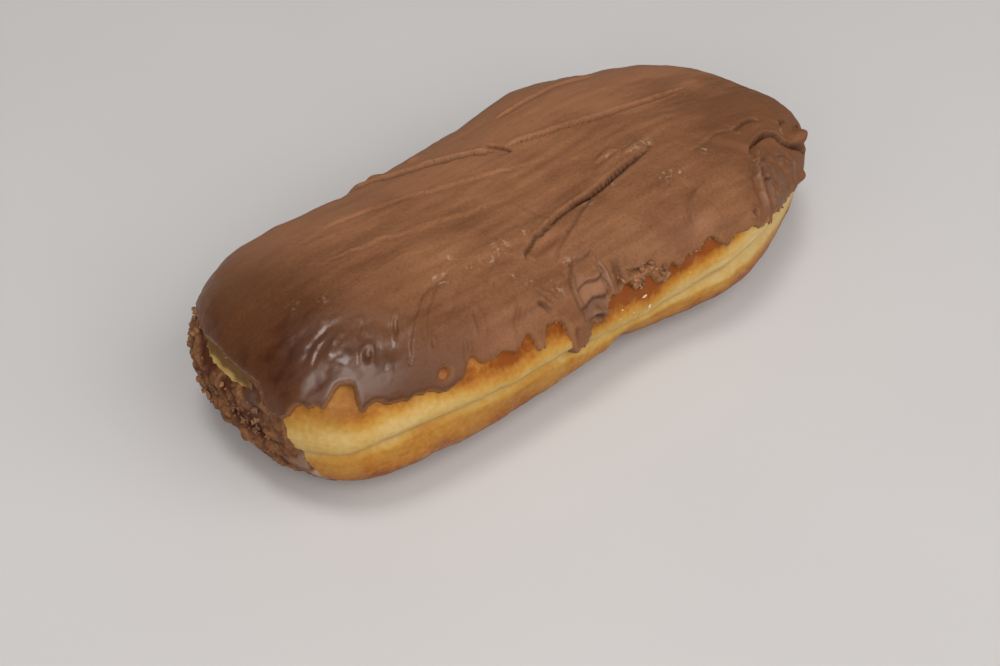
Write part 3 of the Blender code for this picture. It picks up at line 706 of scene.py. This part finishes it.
def rows(start, end, count):
    """Values from start to end in even rows."""
    return start + (end - start) * np.linspace(0, 1, count)[:, None]


def stand_in(piece, node):
    """The piece takes a CAD node's place and rides on the body."""
    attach(piece, "root")
    if node:
        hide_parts(node)


# Materials


class Wire:
    """A socket of a material's nodes. Operators on it add the Math nodes that work them out."""

    def __init__(self, tree, socket=None):
        self.tree, self.socket = tree, socket

    def node(self, kind, settings, inputs, output=0):
        """Adds a node of this kind, its settings first, then a value or a link in each input named."""
        made = self.tree.nodes.new("ShaderNode" + kind)
        for name, value in settings.items():
            if name == "stops":
                ramp = made.color_ramp.elements
                for at, _ in value[1:-1]:
                    ramp.new(at)
                for stop, (at, colour) in zip(ramp, value):
                    stop.position, stop.color = at, coloured(colour)
            else:
                setattr(made, name, value)
        for name, value in inputs.items():
            if isinstance(value, Wire):
                self.tree.links.new(value.socket, made.inputs[name])
            else:
                made.inputs[name].default_value = value
        return Wire(self.tree, made.outputs[output])

    def math(self, operation, *values, clamp=False):
        return self.node("Math", {"operation": operation, "use_clamp": clamp}, dict(enumerate(values)))

    def __add__(self, other):
        return self.math("ADD", self, other)

    def __sub__(self, other):
        return self.math("SUBTRACT", self, other)

    def __rsub__(self, other):
        return self.math("SUBTRACT", other, self)

    def __mul__(self, other):
        return self.math("MULTIPLY", self, other)

    __radd__, __rmul__ = __add__, __mul__

    def clamped(self):
        return self.math("ADD", self, 0.0, clamp=True)

    def between(self, low, high):
        """0 below low, 1 above high, and a smooth S between."""
        return self.node("MapRange", {"interpolation_type": "SMOOTHSTEP"},
                         {"Value": self, "From Min": low, "From Max": high})

    def mask(self, name):
        """A float attribute of the mesh."""
        return self.node("Attribute", {"attribute_name": name}, {}, "Fac")

    def place(self, stretch):
        """The object's own coordinates, stretched along its axes."""
        coordinates = self.node("TexCoord", {}, {}, "Object")
        return self.node("Mapping", {}, {"Vector": coordinates, "Scale": stretch})

    def noise(self, size, detail=3.0, stretch=(1, 1, 1), roughness=0.5):
        """Noise around 0.5 whose features are this many millimetres across."""
        return self.node("TexNoise", {}, {"Vector": self.place(stretch), "Scale": 1 / (size * MM),
                                          "Detail": detail, "Roughness": roughness})

    def ramp(self, value, stops):
        """A colour that goes through the stops as the value goes from 0 to 1."""
        return self.node("ValToRGB", {"stops": stops}, {"Fac": value})

    def blend(self, first, second):
        """A colour from first to second as this wire goes from 0 to 1."""
        return self.node("Mix", {"data_type": "RGBA"}, {0: self, 6: first, 7: second}, 2)

    def bump(self, height, distance, strength):
        """The normal of a surface with this height, whose whole range is distance in millimetres."""
        return self.node("Bump", {}, {"Height": height, "Distance": distance * MM, "Strength": strength})


def coloured(colour):
    """The colour with full alpha."""
    return (*colour, 1.0)


def finish(name, build):
    """A material whose Principled sockets take the values and wires that build returns."""
    material = bpy.data.materials.new(name)
    material.use_nodes = True
    shader = material.node_tree.nodes["Principled BSDF"]
    for socket, value in build(Wire(material.node_tree)).items():
        if isinstance(value, Wire):
            material.node_tree.links.new(value.socket, shader.inputs[socket])
        else:
            shader.inputs[socket].default_value = value
    return material


def crust_finish(looks):
    """Fried crust: cream on the belt, then yellow, golden and deep orange-brown as it is baked further,
    mottled, finely blistered and slightly oily."""

    def build(wire):
        mottle = wire.noise(8, 4) - 0.5
        speckle = wire.noise(1.3, 4) - 0.5
        bake = wire.mask("bake")
        even = 0.35 + 0.65 * bake
        baked = (bake + 0.9 * mottle * even + 0.8 * speckle * even).clamped()
        oily = wire.noise(5, 3).between(0.5, 0.7)
        colour = wire.ramp(baked, ((0.0, looks.cream), (0.28, looks.yellow), (0.6, looks.golden),
                                   (1.0, looks.deep)))
        # The crease colour is painted shade along the bottom of the crease
        colour = (0.6 * wire.mask("crease")).blend(colour, coloured(looks.crease))
        # Painted shade on the crust under the icing's edge and at the top of the window, under the cap
        colour = (0.95 * wire.mask("stain")).blend(colour, coloured(looks.stain))
        wrinkles = wire.noise(1.6, 3, (0.3, 0.3, 1.6))
        relief = 0.5 * wire.noise(2.4, 4) + 0.35 * wire.noise(0.8, 3) + 0.5 * wrinkles
        return {
            "Base Color": colour,
            "Roughness": (0.62 - 0.2 * bake + 0.35 * speckle).clamped(),
            "Normal": wire.bump(relief, 0.4, 0.7),
            "Subsurface Weight": 0.08,
            "Subsurface Radius": (1.0, 0.45, 0.2),
            "Subsurface Scale": 0.0015,
            "Specular IOR Level": 0.12,
            "Coat Weight": 0.2 * oily + 0.1 * bake,
            "Coat Roughness": 0.3,
        }

    return finish("crust", build)


def icing_finish(looks):
    """Chocolate icing: matt and finely grained, with streaks along the knife's way, paler towards the back as
    painted light, darker and glossier on the -X end, partly as painted shade, with painted shade in its
    cracks and pits, painted highlights on its edges, ridges and glints, and dulled where it was torn."""

    def build(wire):
        crack, edge, rough, crest, dark_end, bloom, gloss = map(
            wire.mask, ("crack", "edge", "rough", "crest", "dark_end", "bloom", "gloss"))
        cloud = wire.noise(20, 4) - 0.5
        streak = wire.noise(2.6, 4, (0.14, 1, 1)) - 0.5
        grain = wire.noise(0.7, 4, roughness=0.65) - 0.5
        # Pits: small noise spots that take painted shade
        pits = wire.noise(1.1, 2).between(0.64, 0.74)
        # Glints: painted highlights, whitish specks near the listed places
        glints = wire.noise(1.4, 3).between(0.5, 0.72) * wire.mask("sugar")
        # Lighter with pale, painted light towards the back, and with bloom, which is partly a painted sheen
        lighter = (0.36 + wire.mask("pale") + cloud + 1.1 * streak + 1.2 * grain + 0.2 * bloom).clamped()
        colour = lighter.blend(coloured(looks.brown_deep), coloured(looks.brown))
        # Darker on the -X end: darker, glossier icing, and painted shade on the end away from the lights
        darker = (dark_end * (0.85 + 1.0 * cloud + 0.6 * streak)).clamped()
        colour = darker.blend(colour, coloured(looks.brown_dark))
        dulled = (rough * (0.65 + 1.6 * (wire.noise(3, 4) - 0.5))).clamped()
        colour = dulled.blend(colour, coloured(looks.torn_grey))
        # Lighter along the edge and on ridges: the torn edge's own colour, and painted highlights on the -X
        # end's smooth edge and on ridge tops
        colour = (0.5 * edge + 0.4 * crest).clamped().blend(colour, coloured(looks.crumb))
        colour = (0.55 * glints).blend(colour, coloured(looks.glint))
        # Painted shade: near black in cracks, holes, furrows and the strip's steps, and in the small pits
        colour = (0.9 * crack + 0.3 * pits * (1 - dark_end)).clamped().blend(colour, coloured(looks.crack))
        relief = 0.45 * wire.noise(0.7, 4) + 0.25 * wire.noise(2.2, 3) + 0.4 * wire.noise(1.2, 3, (0.2, 1, 1))
        matt = 0.62 - 0.3 * dark_end - 0.1 * bloom - 0.12 * rough - 0.3 * glints + 0.3 * grain
        return {
            "Base Color": colour,
            "Roughness": matt.clamped(),
            "Normal": wire.bump(relief, 0.2, 0.7),
            "Specular IOR Level": 0.2,
            "Coat Weight": (0.85 * gloss + 0.1 * rough + 0.5 * glints + 0.8 * crest).clamped(),
            "Coat Roughness": 0.3,
        }

    return finish("icing", build)


def smear_finish(looks):
    """Torn icing: ruddy with painted shade in its pits, greyish on its smooth band, with a dusty bloom
    towards the floor.
    """

    def build(wire):
        pit, band, bloom = wire.mask("pit"), wire.mask("band"), wire.mask("bloom")
        grain = wire.noise(0.9, 4, roughness=0.65) - 0.5
        tone = (0.36 + 1.8 * (wire.noise(2.4, 3) - 0.5) + 1.8 * grain).clamped()
        colour = tone.blend(coloured(looks.torn), coloured(looks.crumb))
        colour = (0.8 * band).blend(colour, coloured(looks.band))
        colour = (0.75 * bloom).blend(colour, coloured(looks.bloom))
        # Ruddy, with painted shade, in the pits
        colour = (0.85 * pit).blend(colour, coloured(looks.pit))
        return {
            "Base Color": colour,
            "Roughness": (0.52 - 0.18 * band + 0.4 * grain).clamped(),
            "Normal": wire.bump(wire.noise(0.6, 4), 0.2, 0.7),
            "Specular IOR Level": 0.15,
        }

    return finish("smear", build)


def crumb_finish(looks):
    """Torn icing: the same browns, rougher, each crumb a little lighter or darker."""

    def build(wire):
        tone = (wire.mask("tone") + 0.6 * (wire.noise(0.8, 3) - 0.5)).clamped()
        return {
            "Base Color": tone.blend(coloured(looks.brown_deep), coloured(looks.crumb)),
            "Roughness": 0.45,
            "Normal": wire.bump(wire.noise(0.5, 3), 0.12, 0.6),
            "Specular IOR Level": 0.35,
        }

    return finish("crumb", build)


def glaze_finish(looks):
    """Dried glaze: thin, whitish and shiny."""

    def build(wire):
        thin = wire.noise(0.7, 2).between(0.35, 0.7)
        return {
            "Base Color": thin.blend(coloured(looks.glaze), coloured(looks.glaze_thin)),
            "Roughness": 0.22,
            "Normal": wire.bump(wire.noise(0.4, 2), 0.06, 0.5),
            "IOR": 1.45,
        }

    return finish("glaze", build)


def floor_finish(colour):
    """A plain, pale, nearly matt top, with the faintest unevenness in its colour."""

    def build(wire):
        cloud = wire.noise(120, 2).between(0.3, 0.7)
        lighter = tuple(min(1.0, 1.03 * part) for part in colour)
        return {"Base Color": cloud.blend(coloured(colour), coloured(lighter)), "Roughness": 0.55}

    return finish("floor", build)


# What a user would change


def swatch(name, description, colour):
    """A colour that a user can change."""
    return bpy.props.FloatVectorProperty(
        name=name, description=description, default=colour, subtype="COLOR", min=0.0, max=1.0)


def amount(name, description, default, unit="NONE"):
    """A number that a user can change."""
    return bpy.props.FloatProperty(name=name, description=description, default=default, unit=unit)


class DoughLooks(bpy.types.PropertyGroup):
    """How the fried dough is modelled and coloured."""

    columns: bpy.props.IntProperty(name="Columns", description="Points round the dough", default=640)
    rows: bpy.props.IntProperty(
        name="Rows", description="Rings from the base to under the icing", default=104)
    cream: swatch("Cream", "The pale belt", (0.48, 0.345, 0.145))
    yellow: swatch("Yellow", "Crust next to the belt", (0.42, 0.24, 0.05))
    golden: swatch("Golden", "Crust baked golden", (0.36, 0.145, 0.018))
    deep: swatch("Deep", "Crust baked furthest", (0.21, 0.050, 0.003))
    # Crease: the colour of the painted shade at the bottom of the crease
    crease: swatch("Crease", "The bottom of the crease", (0.30, 0.18, 0.08))
    # Stain: the colour of the painted shade under the icing's edge and at the top of the window
    stain: swatch("Stain", "Dough tanned by the icing torn off it", (0.13, 0.062, 0.018))


class IcingLooks(bpy.types.PropertyGroup):
    """How the icing is modelled and coloured."""

    columns: bpy.props.IntProperty(name="Columns", description="Points round the icing", default=920)
    rows: bpy.props.IntProperty(name="Rows", description="Rings from the hem to the spine", default=96)
    brown: swatch("Brown", "Icing where it is lightest", (0.285, 0.124, 0.057))
    brown_deep: swatch("Deep brown", "Icing where it is deepest", (0.152, 0.060, 0.024))
    # Dark brown: the glossy end's own colour, made darker as painted shade
    brown_dark: swatch("Dark brown", "Icing on the glossy end", (0.050, 0.0135, 0.004))
    torn: swatch("Torn", "Thin, torn icing", (0.09, 0.032, 0.013))
    torn_grey: swatch("Dulled", "Icing torn rough", (0.127, 0.064, 0.038))
    band: swatch("Band", "The smooth, greyish band of the smear", (0.075, 0.045, 0.037))
    bloom: swatch("Bloom", "The dusty bloom low on the smear", (0.36, 0.25, 0.18))
    # Pit: ruddy colour with painted shade in the smear's pits
    pit: swatch("Pit", "The pits of the smear", (0.05, 0.012, 0.005))
    # Crack: the colour of the painted shade in cracks, holes and furrows
    crack: swatch("Crack", "The bottom of a crack", (0.035, 0.012, 0.005))
    crumb: swatch("Crumb", "The lightest crumbs", (0.28, 0.125, 0.048))
    # Glint: the colour of the painted highlights in whitish specks
    glint: swatch("Glint", "Whitish specks of sugar", (0.50, 0.36, 0.25))


class GlazeLooks(bpy.types.PropertyGroup):
    """How the glaze flecks are coloured."""

    glaze: swatch("Glaze", "Thick glaze", (0.66, 0.50, 0.33))
    glaze_thin: swatch("Thin glaze", "Glaze that lets the crust through", (0.5, 0.27, 0.10))


class StageLooks(bpy.types.PropertyGroup):
    """The floor, the lights and the camera."""

    floor: swatch("Floor", "The floor's colour", (0.545, 0.53, 0.53))
    overhead: amount("Overhead", "Power of the light above", 7.5, "POWER")
    right: amount("Right", "Power of the light on the right", 24.0, "POWER")
    left: amount("Left", "Power of the light on the left", 13.0, "POWER")
    front: amount("Front", "Power of the light behind the camera", 8.0, "POWER")
    ambient: amount("Ambient", "Strength of the light all round", 0.16)
    azimuth: amount("Azimuth", "The camera's turn from the front", np.radians(-42.37), "ROTATION")
    elevation: amount("Elevation", "The camera's height angle", np.radians(41.68), "ROTATION")
    roll: amount("Roll", "The camera's tilt to a side", 0.0055, "ROTATION")
    distance: amount("Distance", "From the camera to what it looks at", 0.4, "LENGTH")
    lens: amount("Lens", "Focal length in millimetres", 57.6, "CAMERA")



LOOKS = {"dough_looks": DoughLooks, "icing_looks": IcingLooks, "glaze_looks": GlazeLooks,
         "stage_looks": StageLooks}


# Operators


def dough_masks(around, climb, off):
    """How far the crust is baked, from 0 on the pale belt to 1 next to the icing, the crease's painted shade,
    and the painted shade on the crust under the icing's edge and at the top of the window, under the cap."""
    places = form(around, climb)
    at = np.mod(around, GIRTH)
    wander = 1.3 * unevenness(places, 9.0, 61) + 0.7 * unevenness(places, 3.5, 62)
    above = through(BELT_AROUND, BELT_ABOVE, at)
    below = through(BELT_AROUND, BELT_BELOW, at)
    upper = through(BELT_AROUND, BAKED_ABOVE, at)
    right = on_right(around, *PALER_BELT)
    least = 0.12 * (1 - right)
    lower = 0.42 + 0.3 * on_right(around, *DARKER_BELOW)
    bake = (least + (1.05 * upper - least) * ease(off + wander, above - 2.0, above + 5.0)
            + 0.4 * ease(-off + wander, below, below + 3.5)
            + lower * ease(-off + 0.6 * wander, 4 - 2 * right, 15 - 6 * right))
    window = ease(inside_hole(around, climb, WINDOW), -1.5, 0.5)
    bake = bake * (1 - window) + window * (0.1 + 0.5 * ease(climb, 8.0, 11.0))
    # crease: painted shade along the bottom of the crease
    crease = np.exp(-(((off + 0.5) / 0.55) ** 2)) * (0.5 + 0.5 * ease(unevenness(places, 8.0, 63), -0.4, 0.5))
    # Painted shade: darker towards the top of the window, under the cap, and on the crust just under the rim
    stain = window * (0.2 + 0.8 * ease(climb + 0.9 * unevenness(places, 2.0, 65), 7.2, 8.6))
    stain += RIM_SHADE["depth"] * hump(at, RIM_SHADE["around"], RIM_SHADE["reach"]) * ease(off, above, above + 5.0)
    return {"bake": bake, "crease": crease * (climb < rim_level(around)), "stain": stain}


class OBJECT_OT_long_john_dough(bpy.types.Operator):
    """Models the fried dough over its solid"""

    bl_idname = "object.long_john_dough"
    bl_label = "Dough"

    def execute(self, context):
        looks = context.scene.dough_looks
        around = np.arange(looks.columns)[None] * GIRTH / looks.columns
        under = rim_level(around) + TUCKED
        shown = rows(CLIMB_FOOT + BASE_INSET, under, looks.rows)
        hidden = rows(under, CLIMB_TOP - SPINE_GAP, HIDDEN_ROWS)[1:]
        climb = np.concatenate([shown, hidden])
        around = np.broadcast_to(around, climb.shape)
        points = stood_off(around, climb, dough_relief(around, climb))
        points[..., 2] = points[..., 2].clip(0)
        off = climb - crease_level(around)
        masks = dough_masks(around, climb, off)
        count = looks.columns
        quads = np.concatenate([bands(0, count, len(climb)), zipped(0, count, True),
                                zipped((len(climb) - 1) * count, count)])
        piece = put_in_scene("fried_dough", points, quads, crust_finish(looks), masks)
        stand_in(piece, "dough")
        return {"FINISHED"}


def closed_sheet(around, outer, inner, outer_points, inner_points):
    """Points and quads of an outer and an inner sheet in rings, joined round the hem and zipped on top."""
    count, second = around.size, outer.size
    i = np.arange(count)
    j = (i + 1) % count
    quads = np.concatenate([
        bands(0, count, len(outer)), zipped(second - count, count),
        np.stack([i, second + i, second + j, j], 1),
        bands(second, count, len(inner), True), zipped(second + inner.size - count, count, True)])
    return np.concatenate([outer_points.reshape(-1, 3), inner_points.reshape(-1, 3)]), quads


class OBJECT_OT_long_john_icing(bpy.types.Operator):
    """Models the cap of icing as a closed sheet over the dough"""

    bl_idname = "object.long_john_icing"
    bl_label = "Icing"

    def execute(self, context):
        looks = context.scene.icing_looks
        around = np.arange(looks.columns)[None] * GIRTH / looks.columns
        offsets = np.arange(-HEM["reach"], HEM["reach"] + HEM["step"] / 2, HEM["step"])
        hem = np.min([rim(around + offset) for offset in offsets], axis=0) - HEM["below"]
        outer = rows(hem, CLIMB_TOP - SPINE_GAP, looks.rows)
        inner = rows(hem, CLIMB_TOP - SPINE_GAP, INNER["rows"])
        wide = np.broadcast_to(around, outer.shape)
        height, masks = cap_layer(wide, outer)
        outer_points = stood_off(wide, outer, height)
        wide = np.broadcast_to(around, inner.shape)
        lift = INNER["rise"] * ease(inner, INNER["from"], INNER["to"]) - INNER["under"]
        inner_points = stood_off(wide, inner, dough_relief(wide, inner) + lift)
        points, quads = closed_sheet(around, outer, inner, outer_points, inner_points)
        masks = {name: np.append(values, np.zeros(inner.size)) for name, values in masks.items()}
        piece = put_in_scene("spread_icing", points, quads, icing_finish(looks), masks)
        stand_in(piece, "icing")
        return {"FINISHED"}


class OBJECT_OT_long_john_smear(bpy.types.Operator):
    """Models the smear of torn icing on the end as a closed patch"""

    bl_idname = "object.long_john_smear"
    bl_label = "Smear"

    def execute(self, context):
        step = SMEAR_GRID["step"]
        across = np.arange(SMEAR["from"] - SMEAR_GRID["before"], SMEAR["to"] + SMEAR_GRID["after"], step)
        up = np.arange(SMEAR["hem"], SMEAR_GRID["top"], step)
        around, climb = np.meshgrid(across, up)
        height, masks = smear_layer(around, climb)
        under = np.minimum(height, dough_relief(around, climb)) - 0.8
        points = np.concatenate([stood_off(around, climb, height).reshape(-1, 3),
                                 stood_off(around, climb, under).reshape(-1, 3)])
        quads = slab(*around.shape)
        masks = {name: np.append(values, values) for name, values in masks.items()}
        looks = context.scene.icing_looks
        piece = put_in_scene("icing_smear", points, quads, smear_finish(looks), masks)
        stand_in(piece, "icing")
        return {"FINISHED"}


# Where crumbs of torn icing lie: the stretch around and the stretch of climb, how many, their largest size,
# and how far out of the surface they stand
CRUMB_PATCHES = (
    ((195.0, 205.0), (2.0, 12.5), 44, 2.3, 1.2), ((206.0, 212.0), (-8.0, -1.0), 26, 2.2, 1.3),
    ((206.0, 229.0), (12.2, 13.6), 40, 1.0, 0.4), ((205.0, 237.0), (-11.0, 6.0), 210, 1.3, 0.8),
    ((411.0, 418.0), (11.0, 15.5), 16, 1.5, 1.9), ((403.5, 408.0), (2.5, 6.0), 10, 1.6, 1.5),
)
# Crumbs along the icing's rim: around from and to, how far above the rim, how many, their size and stand
RIM_CRUMBS = (
    ((334.0, 348.0), (0.2, 5.0), 70, 1.9, 1.5), ((346.0, 368.0), (-0.1, 1.2), 60, 1.0, 1.2),
    ((376.0, 390.0), (-0.1, 1.6), 36, 1.3, 1.2), ((390.0, 408.0), (-0.1, 1.0), 30, 0.9, 1.0),
    ((300.0, 333.0), (0.0, 0.8), 34, 0.8, 1.1),
)
# A lump's points round it and up it, and how flat crumbs and flecks are
LUMP_SHAPE = (12, 9)
CRUMB_SQUASH, FLECK_SQUASH = 0.9, 0.25
SEEDS = {"crumb places": 5, "crumbs": 6, "flecks": 9}

# Glaze flecks at around and climb, with their size
FLECKS = (
    (341.8, 3.4, 0.88), (342.9, 0.6, 0.77), (337.9, 1.0, 0.99), (334.3, 3.4, 0.55), (355.2, 4.4, 0.55),
    (333.1, 1.7, 0.44), (367.1, -1.3, 0.55),
)


def lumps(places, outwards, sizes, squash, seed):
    """Uneven balls at these places: a ball's latitude and longitude, pushed in and out by smooth unevenness
    and flattened along the surface's normal."""
    around, up = LUMP_SHAPE
    turn = np.arange(around) * 2 * np.pi / around
    lift = np.linspace(-np.pi / 2, np.pi / 2, up)
    ball = np.stack([np.cos(lift)[:, None] * np.cos(turn), np.cos(lift)[:, None] * np.sin(turn),
                     np.sin(lift)[:, None] * np.ones(around)], -1).reshape(1, -1, 3)
    draw = np.random.default_rng(seed)
    shift = draw.uniform(0, 100, (len(places), 1, 3))
    reach = 1 + 0.75 * unevenness(ball + shift, 0.8, seed)
    stretch = draw.uniform(0.6, 1.3, (len(places), 1, 3))
    local = ball * reach[..., None] * stretch * (sizes / 2)[:, None, None] * (1, 1, squash)
    spin = draw.uniform(0, 2 * np.pi, len(places))
    side = np.cross(outwards, [0.0, 0.0, 1.0])
    side /= np.linalg.norm(side, axis=-1, keepdims=True)
    up_way = np.cross(outwards, side)
    first = np.cos(spin)[:, None] * side + np.sin(spin)[:, None] * up_way
    second = np.cross(outwards, first)
    axes = np.stack([first, second, outwards], 1)
    points = places[:, None] + np.einsum("nki,nij->nkj", local, axes)
    starts = np.arange(len(places))[:, None, None] * around * up
    quads = (bands(0, around, up)[None] + starts).reshape(-1, 4)
    caps = np.stack([zipped(0, around, True), zipped((up - 1) * around, around)]).reshape(-1, 4)
    quads = np.concatenate([quads, (caps[None] + starts).reshape(-1, 4)])
    return points.reshape(-1, 3), quads


class OBJECT_OT_long_john_crumbs(bpy.types.Operator):
    """Scatters crumbs of torn icing where the knife left them"""

    bl_idname = "object.long_john_crumbs"
    bl_label = "Crumbs"

    def execute(self, context):
        draw = np.random.default_rng(SEEDS["crumb places"])
        around, climb, sizes, proud = [], [], [], []
        for patches, level in ((CRUMB_PATCHES, np.zeros_like), (RIM_CRUMBS, rim)):
            for (start, end), (low, high), count, size, stand in patches:
                around.append(draw.uniform(start, end, count))
                climb.append(level(around[-1]) + draw.uniform(low, high, count))
                sizes.append(size * draw.uniform(0.35, 1.0, count))
                proud.append(stand * draw.uniform(0.2, 1.0, count))
        around, climb, sizes, proud = map(np.concatenate, (around, climb, sizes, proud))
        places = stood_off(around, climb, proud)
        points, quads = lumps(places, outward(around, climb), sizes, CRUMB_SQUASH, SEEDS["crumbs"])
        tone = np.repeat(draw.uniform(0, 1, len(places)), LUMP_SHAPE[0] * LUMP_SHAPE[1])
        looks = context.scene.icing_looks
        piece = put_in_scene("icing_crumbs", points, quads, crumb_finish(looks), {"tone": tone})
        stand_in(piece, None)
        return {"FINISHED"}


class OBJECT_OT_long_john_glaze(bpy.types.Operator):
    """Lays flecks of dried glaze on the crust"""

    bl_idname = "object.long_john_glaze"
    bl_label = "Glaze"

    def execute(self, context):
        around, climb, sizes = np.array(FLECKS).T
        places = stood_off(around, climb, dough_relief(around, climb) + 0.02)
        points, quads = lumps(places, outward(around, climb), sizes, FLECK_SQUASH, SEEDS["flecks"])
        piece = put_in_scene("glaze_flecks", points, quads, glaze_finish(context.scene.glaze_looks))
        stand_in(piece, None)
        return {"FINISHED"}


# The stage

LOOK_AT = (-17.72, -10.14, 7.73)
SENSOR = 36.0
FLOOR_HALF = 3.0
LAMP_COLOUR = (1.0, 0.97, 0.93)
AROUND_COLOUR = (0.9, 0.95, 1.0)
# Area lights, each named for its power: its size and where it stands in metres. It looks at the origin
LIGHTS = (
    ("overhead", 0.52, (-0.19, 0.0, 1.6)),
    ("right", 2.0, (0.48, -1.36, 1.2)),
    ("left", 2.0, (-1.36, -0.8, 0.96)),
    ("front", 1.2, (-0.85, -0.95, 1.1)),
)


class OBJECT_OT_long_john_stage(bpy.types.Operator):
    """Sets the floor, the lights and the camera"""

    bl_idname = "object.long_john_stage"
    bl_label = "Stage"

    def execute(self, context):
        looks, scene = context.scene.stage_looks, context.scene
        corner = FLOOR_HALF / MM
        points = [(-corner, -corner, 0), (corner, -corner, 0), (corner, corner, 0), (-corner, corner, 0)]
        floor = put_in_scene("floor", points, [[0, 1, 2, 3]], floor_finish(looks.floor))
        for power, size, place in LIGHTS:
            lamp = bpy.data.lights.new(power, "AREA")
            lamp.shape = "DISK"
            lamp.size = size
            lamp.energy = getattr(looks, power)
            lamp.color = LAMP_COLOUR
            stand = bpy.data.objects.new(power, lamp)
            stand.location = place
            stand.rotation_euler = Vector(place).to_track_quat("Z", "Y").to_euler()
            scene.collection.objects.link(stand)
        world = bpy.data.worlds.new("soft light")
        world.use_nodes = True
        around = world.node_tree.nodes["Background"]
        around.inputs["Color"].default_value = coloured(AROUND_COLOUR)
        around.inputs["Strength"].default_value = looks.ambient
        scene.world = world
        scene.view_settings.view_transform = "Standard"
        scene.camera = self.camera(scene, looks)
        return {"FINISHED"}

    def camera(self, scene, looks):
        """The camera stands back from what it looks at, by its azimuth and elevation, and rolls a little."""
        az, el = looks.azimuth, looks.elevation
        back = Vector((np.sin(az) * np.cos(el), -np.cos(az) * np.cos(el), np.sin(el)))
        right = Vector((np.cos(az), np.sin(az), 0))
        up = back.cross(right)
        turned = Matrix((right, up, back)).transposed() @ Matrix.Rotation(-looks.roll, 3, "Z")
        lens = bpy.data.cameras.new("camera")
        lens.sensor_width = SENSOR
        lens.lens = looks.lens
        made = bpy.data.objects.new("camera", lens)
        made.matrix_world = Matrix.Translation(Vector(LOOK_AT) * MM + back * looks.distance) @ turned.to_4x4()
        scene.collection.objects.link(made)
        return made


class VIEW3D_PT_long_john(bpy.types.Panel):
    """Lists the pieces and the stage, with their sizes and colours."""

    bl_label = "Long John Doughnut"
    bl_space_type = "VIEW_3D"
    bl_region_type = "UI"
    bl_category = "Doughnut"

    def draw(self, context):
        for operator in OPERATORS:
            self.layout.operator(operator.bl_idname)
        for name, group in LOOKS.items():
            box = self.layout.box()
            for looks in group.__annotations__:
                box.prop(getattr(context.scene, name), looks)


OPERATORS = (OBJECT_OT_long_john_dough, OBJECT_OT_long_john_icing, OBJECT_OT_long_john_smear,
             OBJECT_OT_long_john_crumbs, OBJECT_OT_long_john_glaze, OBJECT_OT_long_john_stage)


def register():
    for group in (*LOOKS.values(), *OPERATORS, VIEW3D_PT_long_john):
        bpy.utils.register_class(group)
    for name, group in LOOKS.items():
        setattr(bpy.types.Scene, name, bpy.props.PointerProperty(type=group))


def unregister():
    for name in LOOKS:
        delattr(bpy.types.Scene, name)
    for group in reversed((*LOOKS.values(), *OPERATORS, VIEW3D_PT_long_john)):
        bpy.utils.unregister_class(group)


def main():
    register()
    for operator in OPERATORS:
        category, name = operator.bl_idname.split(".")
        getattr(getattr(bpy.ops, category), name)()


if __name__ == "__main__":
    main()
